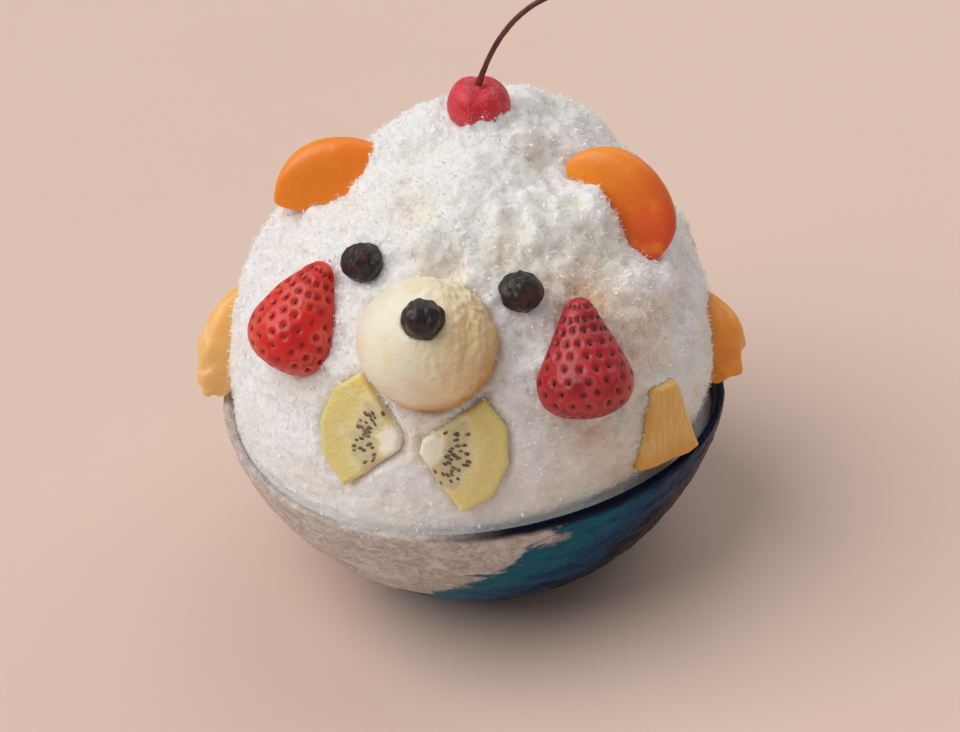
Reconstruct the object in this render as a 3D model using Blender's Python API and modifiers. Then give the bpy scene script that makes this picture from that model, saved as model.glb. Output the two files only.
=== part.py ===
"""Shaved ice heaped in a hand-blown glass bowl and dressed with fruit as a bear's face.

The origin is the middle of the bowl's foot, the face looks towards -Y and +Z is up. Directions on the
heap are an azimuth (0 at +X, 90 at +Y) and an elevation, both in degrees, seen from the rim's middle.
"""

import math
from typing import NamedTuple

import bmesh
import bpy
from mathutils import Matrix, Vector, noise

# Bowl
BOWL_HEIGHT = 0.060
BOWL_SIDES = 40
RIM_RADIUS = 0.080
RIM_MIDDLE = Vector((-0.0069, 0.0008, BOWL_HEIGHT))
WALL = 0.003
OUTER_DEPTH, OUTER_POWER = 0.0671, 1.74
INNER_RADIUS = RIM_RADIUS - WALL
INNER_DEPTH, INNER_POWER = 0.056, 1.90
PROFILE_STEPS = 8
# Hand-blown waves: how many times round, then the cosine and the sine share
PLAN_WAVES = ((2, 0.0009, -0.0001), (3, 0.0016, -0.0007))
HEIGHT_WAVES = ((1, -0.0020, 0.0002), (2, 0.0004, -0.0020))
WAVE_FADE = 0.050
# Slimmer side of the bowl, between its rim and its foot
SLIM_AZIMUTH, SLIM_DEPTH = -45.0, 0.0030

# Gaps between pieces that touch
ICE_GAP = 0.0006
FRUIT_GAP = 0.0004

# Heap of shaved ice above the rim
HEAP_BASE = INNER_RADIUS - ICE_GAP
HEAP_HEIGHT = 0.0915
HEAP_POWER = 1.85
HEAP_LEAN = Vector((0.009, 0.0))
LUMP_RISE = 6
ICE_DETAIL = 5
ICE_BELOW_RIM = 0.25


class Lump(NamedTuple):
    """A swelling of the heap, or a hollow where the height is negative."""

    azimuth: float
    elevation: float
    height: float
    spread: float


LUMPS = (
    Lump(188, 42, 0.0036, 22),
    Lump(150, 60, -0.0024, 20),
    Lump(200, 64, -0.0030, 12),
    Lump(95, 68, 0.0030, 20),
    Lump(45, 60, 0.0045, 20),
    Lump(10, 35, 0.0033, 20),
    Lump(75, 82, 0.0030, 10),
    Lump(160, 76, 0.0050, 11),
    Lump(215, 82, -0.0020, 7),
    Lump(12, 64, -0.0030, 9),
    Lump(252, 66, 0.0020, 12),
    Lump(318, 44, 0.0018, 11),
    Lump(338, 26, 0.0020, 12),
    Lump(310, 22, -0.0018, 10),
    Lump(271, 52, -0.0018, 9),
)
# Mounds, troughs and hollows of the ice between the fruit, which the fruit doesn't ride on
FORMS = (
    Lump(335, 75, -0.0045, 4.5),
    Lump(321, 70, 0.0012, 3.5),
    Lump(323, 60, 0.0024, 5),
    Lump(237, 70, -0.0028, 4.5),
    Lump(222, 65, -0.0020, 4.5),
    Lump(286, 75, -0.0026, 5),
    Lump(249, 63, 0.0024, 4.5),
    Lump(265, 62, -0.0016, 3.5),
    Lump(283, 59, -0.0018, 4),
    Lump(205, 68, 0.0018, 5),
    Lump(207, 74, 0.0018, 5),
    Lump(191, 77, -0.0030, 3.5),
    Lump(180, 82, -0.0022, 3),
    Lump(159, 76, 0.0028, 7),
    Lump(34, 67, 0.0018, 7),
    Lump(321, 42, 0.0018, 6),
    Lump(309, 51, -0.0022, 4.5),
    Lump(186, 50, -0.0014, 4),
    Lump(174, 38, 0.0036, 9),
    Lump(297, 68, 0.0014, 4),
)
# Crags on the heap: wavelength and height
CRAGS = ((0.0150, 0.0030), (0.0075, 0.0020))
CALM_BELOW, CRAGGY_ABOVE = 8.0, 40.0
CALM_SHARE = 0.35

# Fruit and ice cream, with the length and the height of what is uneven on each
SCOOP_RADIUS = 0.0200
SCOOP_SQUASH = 0.95
SCOOP_SMOOTH, SCOOP_ROUGH, SCOOP_SKIRT = 0.0005, 0.0011, 0.0014
SKIRT_PLACE, SKIRT_WIDTH = 0.12, 0.16
NOSE_AZIMUTH, NOSE_ELEVATION = 271.0, 54.0
NOSE_OUT = 0.001
RAISIN_WIDTH, NOSE_WIDTH = 0.0130, 0.0122
RAISIN_TALL, RAISIN_DEEP = 0.93, 0.90
RAISIN_FOLDS, FOLD_DEPTH, RAISIN_UNEVEN = 5, 0.0005, 0.0006
STRAWBERRY_BACK = 0.30
STRAWBERRY_WIDEST, STRAWBERRY_MIDDLE = 0.36, 0.42
SHOULDER_LOSS, SHOULDER_POWER = 0.35, 3
TIP_SHARE = 0.22
CUT_EASING, TIP_EASING = 14, 40
STRAWBERRY_UNEVEN = 0.10
MANDARIN_THICKNESS = 0.015
SEGMENT_BACK_SIDE, SEGMENT_SIDE_SWING, SEGMENT_WIDEST = 0.62, 0.38, 0.80
SEGMENT_UNEVEN = 0.0006
KIWI_RADIUS = 0.0262
KIWI_THICKNESS = 0.0075
KIWI_ARC = 98.0
KIWI_CORE = 0.0044
KIWI_FACETS, KIWI_CORNER = 4, 0.91
EASED_EDGE = 0.0009
PINEAPPLE_HEIGHT = 0.025
PINEAPPLE_TOP, PINEAPPLE_BOTTOM, PINEAPPLE_BOW = 0.009, 0.024, 0.0012
PINEAPPLE_THICKNESS = 0.010
PINEAPPLE_STEPS = 4
PEACH_THICKNESS = 0.015
TEAR = 0.003
CHERRY_RADIUS = 0.0096
CHERRY_SQUASH = 0.98
CHERRY_DIMPLE, DIMPLE_WIDTH = 0.0026, 0.42
CHERRY_SEAM, SEAM_WIDTH = 0.0006, 0.22
CHERRY_TAPER, CHERRY_DEEP = 0.10, 0.95
STEM_BASE, STEM_WAIST, STEM_END = 0.0014, 0.0009, 0.0013
STEM_GAP = 0.0007
STEM_BENDS = (Vector((0, 0, 0)), Vector((0.004, 0, 0.012)), Vector((0.012, 0, 0.032)), Vector((0.036, 0, 0.031)))
STEM_STEPS = 13
STEM_FLARE_END, STEM_NUB_START = 0.12, 0.90


class Pose(NamedTuple):
    """Where a piece sits on the heap and which way it looks.

    The piece's own +Z turns to the facing azimuth and elevation, its +Y is up the slope, and roll turns it
    about +Z. Lift moves it out of the ice along the heap's normal.
    """

    azimuth: float
    elevation: float
    lift: float
    face_azimuth: float
    face_elevation: float
    roll: float


POSES = {
    "ice_cream_scoop": Pose(255.3, 43.5, 0.0030, 256, 36, 0),
    "raisin_eye_left": Pose(226, 55, 0.0020, 228, 49, 10),
    "raisin_eye_right": Pose(284, 53, 0.0020, 284, 41, -8),
    "strawberry_left": Pose(215.9, 38.3, 0.0015, 224, 33, -4),
    "strawberry_right": Pose(298.0, 34.3, 0.0015, 299, 26, -12),
    "mandarin_ear_left": Pose(178.5, 59.2, -0.0028, 270, 36, -2),
    "mandarin_ear_right": Pose(340, 59, -0.0010, 270, 36, -50),
    "kiwi_left": Pose(253.0, 21.8, -0.0015, 243, 20, -2),
    "kiwi_right": Pose(257.4, 21.6, -0.0015, 268, 17, -13),
    "pineapple_wedge": Pose(321.5, 12.0, -0.0020, 304, 8, -3),
    "peach_slice_left": Pose(179, 13, -0.0010, 270, 36, 64),
    "peach_slice_right": Pose(358, 12, -0.0015, 270, 36, -71),
    "cherry": Pose(115, 86, 0.0018, 270, 80, 0),
}

COLOURS = {
    "bowl": (0.10, 0.30, 0.38),
    "shaved_ice": (0.90, 0.92, 0.92),
    "ice_cream_scoop": (0.86, 0.70, 0.42),
    "raisin": (0.02, 0.012, 0.01),
    "strawberry": (0.62, 0.03, 0.03),
    "mandarin": (0.86, 0.21, 0.02),
    "kiwi": (0.55, 0.52, 0.14),
    "pineapple": (0.80, 0.50, 0.11),
    "peach": (0.85, 0.38, 0.05),
    "cherry": (0.58, 0.03, 0.06),
    "cherry_stem": (0.06, 0.012, 0.01),
}


def remove_everything():
    """Empties the scene."""
    for item in list(bpy.data.objects):
        bpy.data.objects.remove(item, do_unlink=True)


def new_collection(name):
    """Makes a collection in the scene."""
    collection = bpy.data.collections.new(name)
    bpy.context.scene.collection.children.link(collection)
    return collection


def new_material(name, colour, roughness):
    """Makes a Principled material."""
    material = bpy.data.materials.new(name)
    material.use_nodes = True
    shader = material.node_tree.nodes["Principled BSDF"]
    shader.inputs["Base Color"].default_value = (*colour, 1.0)
    shader.inputs["Roughness"].default_value = roughness
    shader.inputs["Metallic"].default_value = 0.0
    material.diffuse_color = (*colour, 1.0)
    return material


def add_object(name, mesh, collection, kind, roughness=0.5):
    """Puts a mesh in a collection under its own name and material."""
    item = bpy.data.objects.new(name, mesh)
    collection.objects.link(item)
    item.data.materials.clear()
    item.data.materials.append(new_material(name, COLOURS[kind], roughness))
    return item


def mesh_from(work, name):
    """Turns a bmesh into a smooth mesh with outward faces, and frees it."""
    bmesh.ops.recalc_face_normals(work, faces=work.faces)
    mesh = bpy.data.meshes.new(name)
    work.to_mesh(mesh)
    work.free()
    mesh.shade_smooth()
    return mesh


def evaluated_mesh(item):
    """The mesh of an object with its modifiers or its curve settings worked in."""
    bpy.context.view_layer.update()
    graph = bpy.context.evaluated_depsgraph_get()
    return bpy.data.meshes.new_from_object(item.evaluated_get(graph))


def smooth_step(low, high, value):
    """Rises from 0 at low to 1 at high without a corner."""
    share = min(1.0, max(0.0, (value - low) / (high - low)))
    return share * share * (3 - 2 * share)


def direction(azimuth, elevation):
    """Unit vector for an azimuth and an elevation in degrees."""
    turn, rise = math.radians(azimuth), math.radians(elevation)
    return Vector((math.cos(rise) * math.cos(turn), math.cos(rise) * math.sin(turn), math.sin(rise)))


def wave(waves, angle):
    """Sum of a few cosine and sine waves round the rim."""
    return sum(c * math.cos(count * angle) + s * math.sin(count * angle) for count, c, s in waves)


def hand_blown(point):
    """Moves a point of the round, level form to the leaning, wavy one: most at the rim, none at the foot."""
    low = min(1.0, point.z / BOWL_HEIGHT)
    fade = low * (1 - smooth_step(0.0, WAVE_FADE, point.z - BOWL_HEIGHT))
    angle = math.atan2(point.y, point.x)
    slim = SLIM_DEPTH * math.sin(math.pi * low) * max(0.0, math.cos(angle - math.radians(SLIM_AZIMUTH))) ** 2
    widen = 1 + (wave(PLAN_WAVES, angle) * fade - slim) / RIM_RADIUS
    return Vector((
        point.x * widen + RIM_MIDDLE.x * low,
        point.y * widen + RIM_MIDDLE.y * low,
        point.z + wave(HEIGHT_WAVES, angle) * fade,
    ))


def bowl_profile():
    """Half section of the bowl: up the inner wall, over the lip and down the outer wall to the foot."""
    lip_radius = WALL / 2
    points = []
    lip_turn = math.acos((lip_radius / INNER_DEPTH) ** (INNER_POWER / 2))
    for step in range(PROFILE_STEPS + 1):
        turn = lip_turn * step / PROFILE_STEPS
        depth = INNER_DEPTH * math.cos(turn) ** (2 / INNER_POWER)
        points.append((INNER_RADIUS * math.sin(turn), BOWL_HEIGHT - depth))
    for turn in (135, 90, 45):
        turn = math.radians(turn)
        across = RIM_RADIUS - lip_radius + lip_radius * math.cos(turn)
        points.append((across, BOWL_HEIGHT - lip_radius + lip_radius * math.sin(turn)))
    top_turn = math.acos((lip_radius / OUTER_DEPTH) ** (OUTER_POWER / 2))
    foot_turn = math.acos((BOWL_HEIGHT / OUTER_DEPTH) ** (OUTER_POWER / 2))
    for step in range(PROFILE_STEPS + 1):
        turn = top_turn + (foot_turn - top_turn) * step / PROFILE_STEPS
        depth = OUTER_DEPTH * math.cos(turn) ** (2 / OUTER_POWER)
        points.append((RIM_RADIUS * math.sin(turn), max(0.0, BOWL_HEIGHT - depth)))
    points.append((0.0, 0.0))
    return points


def make_bowl(collection):
    """Turns the bowl and gives it its hand-blown lean and waves."""
    profile = bowl_profile()
    line = bpy.data.meshes.new("bowl_profile")
    line.from_pydata([(x, 0.0, z) for x, z in profile], [(i, i + 1) for i in range(len(profile) - 1)], [])
    turned = bpy.data.objects.new("bowl_profile", line)
    collection.objects.link(turned)
    screw = turned.modifiers.new("turn", "SCREW")
    screw.steps = screw.render_steps = BOWL_SIDES
    screw.use_merge_vertices = True
    screw.merge_threshold = 0.0001
    mesh = evaluated_mesh(turned)
    bpy.data.objects.remove(turned, do_unlink=True)
    work = bmesh.new()
    work.from_mesh(mesh)
    bmesh.ops.remove_doubles(work, verts=work.verts, dist=1e-5)
    for vert in work.verts:
        vert.co = hand_blown(vert.co)
    return add_object("bowl", mesh_from(work, "bowl"), collection, "bowl", 0.1)


def heap_reach(toward):
    """How far the heap reaches from the rim's middle in a direction above the rim, without its forms."""
    level = math.hypot(toward.x, toward.y) / HEAP_BASE
    rise = max(0.0, toward.z) / HEAP_HEIGHT
    reach = (level ** HEAP_POWER + rise ** HEAP_POWER) ** (-1 / HEAP_POWER)
    return reach + swelling(toward, LUMPS) * min(1.0, toward.z * LUMP_RISE)


def crag_height(point, elevation):
    """Uneven height of the shaved ice, calm near the rim and craggy above it."""
    rough = CALM_SHARE + (1 - CALM_SHARE) * smooth_step(CALM_BELOW, CRAGGY_ABOVE, elevation)
    rough *= smooth_step(0.0, CALM_BELOW, elevation)
    return rough * sum(height * noise.noise(point / length) for length, height in CRAGS)


def swelling(toward, lumps):
    """Sum of the lumps' heights in a direction."""
    total = 0.0
    for lump in lumps:
        apart = math.degrees(toward.angle(direction(lump.azimuth, lump.elevation)))
        total += lump.height * math.exp(-((apart / lump.spread) ** 2))
    return total


def lean(point):
    """Leans the heap's top over and lets the rim's waves run out above it."""
    share = (max(0.0, point.z) / HEAP_HEIGHT) ** 2
    return hand_blown(point + Vector((HEAP_LEAN.x * share, HEAP_LEAN.y * share, BOWL_HEIGHT)))


def heap_point(azimuth, elevation):
    """Point of the calm heap in a direction from the rim's middle."""
    toward = direction(azimuth, elevation)
    return lean(toward * heap_reach(toward))


def heap_normal(azimuth, elevation):
    """Outward normal of the calm heap."""
    step = 0.5
    across = heap_point(azimuth + step, elevation) - heap_point(azimuth - step, elevation)
    upward = heap_point(azimuth, elevation + step) - heap_point(azimuth, elevation - step)
    return across.cross(upward).normalized()


def wall_reach(toward):
    """How far the ice reaches down to the bowl's inner wall, short of it by the gap."""
    level, down = math.hypot(toward.x, toward.y), -toward.z
    near, far = 0.0, 2 * INNER_RADIUS
    for _ in range(40):
        reach = (near + far) / 2
        sunk = down * reach / (INNER_DEPTH - ICE_GAP)
        wall = HEAP_BASE * math.sqrt(1 - sunk ** INNER_POWER) if sunk < 1 else 0.0
        if level * reach < wall or (sunk < 1 and level == 0):
            near = reach
        else:
            far = reach
    return near


def make_ice(collection):
    """Fills the bowl and heaps above it, from a sphere with most of its faces above the rim."""
    work = bmesh.new()
    bmesh.ops.create_icosphere(work, subdivisions=ICE_DETAIL, radius=1.0)
    split = 2 * ICE_BELOW_RIM - 1
    for vert in work.verts:
        high = vert.co.z
        high = (high - split) / (1 - split) if high > split else (high - split) / (1 + split)
        flat = Vector((vert.co.x, vert.co.y))
        flat = flat.normalized() * math.sqrt(max(0.0, 1 - high * high))
        toward = Vector((flat.x, flat.y, high))
        if high > 0:
            elevation = math.degrees(math.asin(min(1.0, high)))
            calm = toward * heap_reach(toward)
            vert.co = lean(calm + toward * (crag_height(calm, elevation) + swelling(toward, FORMS)))
        else:
            vert.co = hand_blown(toward * wall_reach(toward) + Vector((0, 0, BOWL_HEIGHT)))
    return add_object("shaved_ice", mesh_from(work, "shaved_ice"), collection, "shaved_ice", 0.8)


def pose_matrix(pose):
    """Matrix that puts a piece on the heap in its pose."""
    normal = heap_normal(pose.azimuth, pose.elevation)
    place = heap_point(pose.azimuth, pose.elevation) + normal * pose.lift
    facing = direction(pose.face_azimuth, pose.face_elevation)
    right = Vector((0, 0, 1)).cross(facing).normalized()
    frame = Matrix((right, facing.cross(right), facing)).transposed().to_4x4()
    return Matrix.Translation(place) @ frame @ Matrix.Rotation(math.radians(pose.roll), 4, "Z")


def globe(segments, rings):
    """A unit sphere whose poles lie on the Y axis, as a bmesh."""
    work = bmesh.new()
    bmesh.ops.create_uvsphere(work, u_segments=segments, v_segments=rings, radius=1.0)
    bmesh.ops.rotate(work, verts=work.verts, matrix=Matrix.Rotation(math.radians(-90), 3, "X"))
    return work


def uneven(point, length, height, seed):
    """Small offset that makes fruit uneven."""
    return height * noise.noise(point / length + Vector((seed, seed, seed)))


def strawberry_girth(along, plump):
    """Width of a strawberry as a share of its widest, at a share of its length from its cut end to its tip."""
    if along > STRAWBERRY_WIDEST:
        narrowed = ((along - STRAWBERRY_WIDEST) / (1 - STRAWBERRY_WIDEST)) ** plump
        girth = 1 - (1 - TIP_SHARE) * narrowed
    else:
        girth = 1 - SHOULDER_LOSS * (1 - along / STRAWBERRY_WIDEST) ** SHOULDER_POWER
    cut = max(0.0, 1 - (1 - along) ** CUT_EASING)
    tip = max(0.0, 1 - along ** TIP_EASING)
    return girth * math.sqrt(cut * tip)


def strawberry_mesh(length, width, plump, seed):
    """Half a strawberry, tip at +Y, skin at +Z, its cut face a shallow dome at -Z."""
    work = globe(18, 14)
    for vert in work.verts:
        along = (vert.co.y + 1) / 2
        around = math.atan2(vert.co.z, vert.co.x)
        radius = width / 2 * strawberry_girth(along, plump) * (1 + uneven(vert.co, 0.9, STRAWBERRY_UNEVEN, seed))
        high = radius * math.sin(around)
        vert.co = Vector((
            radius * math.cos(around),
            (along - STRAWBERRY_MIDDLE) * length,
            high if high > 0 else high * STRAWBERRY_BACK,
        ))
    return mesh_from(work, "strawberry")


class Segment(NamedTuple):
    """A crescent of fruit: its length, the rise of its back and of its inner edge, and its thickness.

    Blunt makes its ends rounder and bend makes it arch more evenly.
    """

    length: float
    back: float
    inner: float
    thickness: float
    blunt: float
    bend: float


def segment_mesh(shape, segments, rings, seed, torn_end=0):
    """A crescent with its ends on the X axis, its thick back at +Y and its thin inner edge at -Y.

    A torn end of +1 or -1 roughens the end on that side of the X axis.
    """
    work = bmesh.new()
    bmesh.ops.create_uvsphere(work, u_segments=segments, v_segments=rings, radius=1.0)
    bmesh.ops.rotate(work, verts=work.verts, matrix=Matrix.Rotation(math.radians(90), 3, "Y"))
    for vert in work.verts:
        along = max(-1.0, min(1.0, vert.co.x))
        girth = math.sqrt(max(0.0, 1 - along * along))
        around = math.atan2(vert.co.z, vert.co.y)
        middle = (shape.back + shape.inner) / 2 * girth ** shape.bend
        half = (shape.back - shape.inner) / 2 * max(0.0, 1 - abs(along) ** shape.blunt) ** 0.5
        wedge = (SEGMENT_BACK_SIDE + SEGMENT_SIDE_SWING * math.cos(around)) / SEGMENT_WIDEST
        side = math.sin(around) * shape.thickness / 2 * girth ** 0.8 * wedge
        point = Vector((along * shape.length / 2, middle + half * math.cos(around), side))
        tear = TEAR * smooth_step(-0.2, 0.9, along * torn_end) if torn_end else 0.0
        shake = uneven(point, 0.006, tear, seed) + uneven(point, 0.012, SEGMENT_UNEVEN, seed + 7)
        vert.co = point + Vector((shake, shake * 0.8, shake))
    return mesh_from(work, "segment")


def scoop_mesh():
    """A ball of ice cream with a torn skirt round its back and a rough right side."""
    work = globe(24, 14)
    for vert in work.verts:
        way = vert.co.normalized()
        rough = smooth_step(-0.2, 0.9, way.x + 0.3 * way.y)
        radius = SCOOP_RADIUS + uneven(way, 0.45, SCOOP_SMOOTH + SCOOP_ROUGH * rough, 3.0)
        skirt = math.exp(-(((way.z + SKIRT_PLACE) / SKIRT_WIDTH) ** 2)) * smooth_step(0.1, 1.0, way.x - way.y)
        vert.co = way * (radius + SCOOP_SKIRT * skirt)
        vert.co.y *= SCOOP_SQUASH
    return mesh_from(work, "scoop")


def raisin_mesh(width, seed):
    """A plump round raisin with shallow folds."""
    work = globe(14, 9)
    for vert in work.verts:
        way = vert.co.normalized()
        girth = math.sqrt(max(0.0, 1 - way.y ** 2))
        folds = FOLD_DEPTH * math.sin(RAISIN_FOLDS * math.atan2(way.x, way.z) + seed) * girth
        radius = width / 2 + folds + uneven(way, 0.6, RAISIN_UNEVEN, seed)
        vert.co = Vector((way.x, way.y * RAISIN_TALL, way.z * RAISIN_DEEP)) * radius
    return mesh_from(work, "raisin")


def slab_mesh(name, outline, thickness, bevel):
    """A flat slice with eased edges, from its outline in X and Y."""
    curve = bpy.data.curves.new(name, "CURVE")
    curve.dimensions = "2D"
    curve.fill_mode = "BOTH"
    curve.extrude = thickness / 2 - bevel
    curve.bevel_depth = bevel
    curve.bevel_resolution = 0
    curve.offset = -bevel
    spline = curve.splines.new("POLY")
    spline.points.add(len(outline) - 1)
    for spot, (x, y) in zip(spline.points, outline):
        spot.co = (x, y, 0.0, 1.0)
    spline.use_cyclic_u = True
    item = bpy.data.objects.new(name, curve)
    bpy.context.scene.collection.objects.link(item)
    mesh = evaluated_mesh(item)
    bpy.data.objects.remove(item, do_unlink=True)
    work = bmesh.new()
    work.from_mesh(mesh)
    bmesh.ops.remove_doubles(work, verts=work.verts, dist=1e-5)
    return mesh_from(work, name)


def kiwi_mesh(facing):
    """A wedge of a kiwi slice: its core at the origin and its pared, faceted edge towards facing, +1 or -1."""
    outline = [(0.0, KIWI_CORE / 2), (0.0, -KIWI_CORE / 2)]
    for step in range(KIWI_FACETS + 1):
        angle = math.radians(KIWI_ARC * (step / KIWI_FACETS - 0.5))
        flat = KIWI_CORNER if step in (0, KIWI_FACETS) else 1.0
        outline.append((KIWI_RADIUS * flat * math.cos(angle), KIWI_RADIUS * flat * math.sin(angle)))
    if facing < 0:
        outline = [(-x, y) for x, y in reversed(outline)]
    return slab_mesh("kiwi", outline, KIWI_THICKNESS, EASED_EDGE)


def pineapple_mesh():
    """A wedge of a pineapple ring, narrow at the top, its bottom edge a shallow arc."""
    outline = [(PINEAPPLE_TOP / 2, PINEAPPLE_HEIGHT / 2), (-PINEAPPLE_TOP / 2, PINEAPPLE_HEIGHT / 2)]
    for step in range(PINEAPPLE_STEPS + 1):
        share = step / PINEAPPLE_STEPS
        bow = PINEAPPLE_BOW * math.sin(math.pi * share)
        outline.append((PINEAPPLE_BOTTOM * (share - 0.5), -PINEAPPLE_HEIGHT / 2 - bow))
    return slab_mesh("pineapple", outline, PINEAPPLE_THICKNESS, EASED_EDGE)


def cherry_mesh():
    """A heart-shaped cherry, stem end at +Z, with a seam down its front."""
    work = globe(16, 11)
    for vert in work.verts:
        way = vert.co.normalized()
        dimple = CHERRY_DIMPLE * math.exp(-((math.hypot(way.x, way.y) / DIMPLE_WIDTH) ** 2)) if way.z > 0 else 0.0
        seam = CHERRY_SEAM * math.exp(-((way.x / SEAM_WIDTH) ** 2))
        point = way * (CHERRY_RADIUS - seam)
        taper = 1 - CHERRY_TAPER * smooth_step(0.0, 1.0, -way.z)
        vert.co = Vector((point.x * taper, point.y * taper * CHERRY_DEEP, point.z * CHERRY_SQUASH - dimple))
    return mesh_from(work, "cherry")


def carve(item, others, gap):
    """Cuts a pocket in a piece for each of the others, wider than it by the gap, and drops loose scraps."""
    cutters = bpy.data.collections["cutters"]
    for other in others:
        work = bmesh.new()
        work.from_mesh(other.data)
        bmesh.ops.transform(work, matrix=other.matrix_world, verts=work.verts)
        work.normal_update()
        moves = [vert.normal * (gap * vert.calc_shell_factor()) for vert in work.verts]
        for vert, move in zip(work.verts, moves):
            vert.co += move
        cutter = bpy.data.objects.new(f"pocket_{other.name}", mesh_from(work, "pocket"))
        cutter.hide_render = True
        cutter.display_type = "WIRE"
        cutters.objects.link(cutter)
        cut = item.modifiers.new(cutter.name, "BOOLEAN")
        cut.operation = "DIFFERENCE"
        cut.solver = "EXACT"
        cut.object = cutter
    mesh = evaluated_mesh(item)
    item.modifiers.clear()
    item.data = mesh
    drop_scraps(mesh)


def drop_scraps(mesh):
    """Keeps the largest joined body of a mesh."""
    work = bmesh.new()
    work.from_mesh(mesh)
    left, bodies = set(work.verts), []
    while left:
        start = left.pop()
        body, waiting = {start}, [start]
        while waiting:
            for link in waiting.pop().link_edges:
                for vert in link.verts:
                    if vert in left:
                        left.remove(vert)
                        body.add(vert)
                        waiting.append(vert)
        bodies.append(body)
    keep = max(bodies, key=len)
    bmesh.ops.delete(work, geom=[vert for vert in work.verts if vert not in keep], context="VERTS")
    work.to_mesh(mesh)
    work.free()


def make_stem(collection, cherry):
    """The cherry's stalk: up from its dimple, over to the right and out to a cut end."""
    start = cherry.matrix_world @ Vector((0, 0, CHERRY_RADIUS * CHERRY_SQUASH - CHERRY_DIMPLE + STEM_GAP))
    curve = bpy.data.curves.new("cherry_stem", "CURVE")
    curve.dimensions = "3D"
    curve.bevel_depth = STEM_WAIST
    curve.bevel_resolution = 2
    curve.use_fill_caps = True
    spline = curve.splines.new("POLY")
    spline.points.add(STEM_STEPS)
    for step, spot in enumerate(spline.points):
        share = step / STEM_STEPS
        rest = 1 - share
        weights = (rest ** 3, 3 * share * rest ** 2, 3 * share ** 2 * rest, share ** 3)
        place = start + sum((bend * weight for bend, weight in zip(STEM_BENDS, weights)), Vector())
        spot.co = (*place, 1.0)
        flare = STEM_BASE - (STEM_BASE - STEM_WAIST) * smooth_step(0.0, STEM_FLARE_END, share)
        nub = (STEM_END - STEM_WAIST) * smooth_step(STEM_NUB_START, 1.0, share)
        spot.radius = (flare + nub) / STEM_WAIST
    item = bpy.data.objects.new("cherry_stem", curve)
    collection.objects.link(item)
    mesh = evaluated_mesh(item)
    bpy.data.objects.remove(item, do_unlink=True)
    work = bmesh.new()
    work.from_mesh(mesh)
    bmesh.ops.remove_doubles(work, verts=work.verts, dist=1e-6)
    return add_object("cherry_stem", mesh_from(work, "cherry_stem"), collection, "cherry_stem", 0.5)


def main():
    """Builds the bowl, the ice and everything on it."""
    remove_everything()
    bingsu = new_collection("bingsu")
    new_collection("cutters")
    make_bowl(bingsu)
    ice = make_ice(bingsu)
    left_ear = Segment(0.0415, 0.0190, -0.0040, MANDARIN_THICKNESS, 2.4, 1.0)
    right_ear = Segment(0.0395, 0.0165, -0.0035, MANDARIN_THICKNESS, 3.4, 1.4)
    left_peach = Segment(0.040, 0.0105, -0.0075, PEACH_THICKNESS, 1.8, 1.0)
    right_peach = Segment(0.032, 0.0115, -0.0070, PEACH_THICKNESS, 2.4, 1.0)
    pieces = (
        ("ice_cream_scoop", "ice_cream_scoop", scoop_mesh(), 0.6),
        ("raisin_eye_left", "raisin", raisin_mesh(RAISIN_WIDTH, 1.0), 0.35),
        ("raisin_eye_right", "raisin", raisin_mesh(RAISIN_WIDTH, 2.3), 0.35),
        ("strawberry_left", "strawberry", strawberry_mesh(0.0355, 0.0285, 1.40, 1.0), 0.35),
        ("strawberry_right", "strawberry", strawberry_mesh(0.036, 0.0300, 1.05, 4.0), 0.35),
        ("mandarin_ear_left", "mandarin", segment_mesh(left_ear, 16, 12, 1.0), 0.35),
        ("mandarin_ear_right", "mandarin", segment_mesh(right_ear, 16, 12, 5.0), 0.35),
        ("kiwi_left", "kiwi", kiwi_mesh(-1), 0.4),
        ("kiwi_right", "kiwi", kiwi_mesh(1), 0.4),
        ("pineapple_wedge", "pineapple", pineapple_mesh(), 0.4),
        ("peach_slice_left", "peach", segment_mesh(left_peach, 14, 12, 2.0, -1), 0.4),
        ("peach_slice_right", "peach", segment_mesh(right_peach, 14, 12, 6.0, 1), 0.4),
        ("cherry", "cherry", cherry_mesh(), 0.4),
    )
    placed = {}
    for name, kind, mesh, roughness in pieces:
        placed[name] = add_object(name, mesh, bingsu, kind, roughness)
        placed[name].matrix_world = pose_matrix(POSES[name])
    bpy.context.view_layer.update()
    scoop = placed["ice_cream_scoop"]
    way = direction(NOSE_AZIMUTH, NOSE_ELEVATION)
    nose = add_object("raisin_nose", raisin_mesh(NOSE_WIDTH, 3.7), bingsu, "raisin", 0.35)
    nose.matrix_world = Matrix.Translation(way * (SCOOP_RADIUS + NOSE_OUT)) @ scoop.matrix_world
    make_stem(bingsu, placed["cherry"])
    bpy.context.view_layer.update()
    carve(scoop, [nose, placed["kiwi_left"], placed["kiwi_right"]], FRUIT_GAP)
    carve(ice, [*placed.values(), nose], FRUIT_GAP)


main()
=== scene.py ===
"""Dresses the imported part: hand-blown glass, feathery shaved ice, fruit, raisins and a ball of ice cream.

Everything is in metres in the part's own frame: the bowl's foot at the origin, the face towards -Y, +Z up.
Directions on the heap are an azimuth (0 at +X, 90 at +Y) and an elevation from the middle of the rim.
"""

import logging
import math
from dataclasses import dataclass, field
from enum import Enum
from typing import Callable, Sequence

import bmesh
import bpy
import numpy as np
from mathutils import Matrix, Vector, noise
from mathutils.bvhtree import BVHTree
from mathutils.kdtree import KDTree


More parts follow.
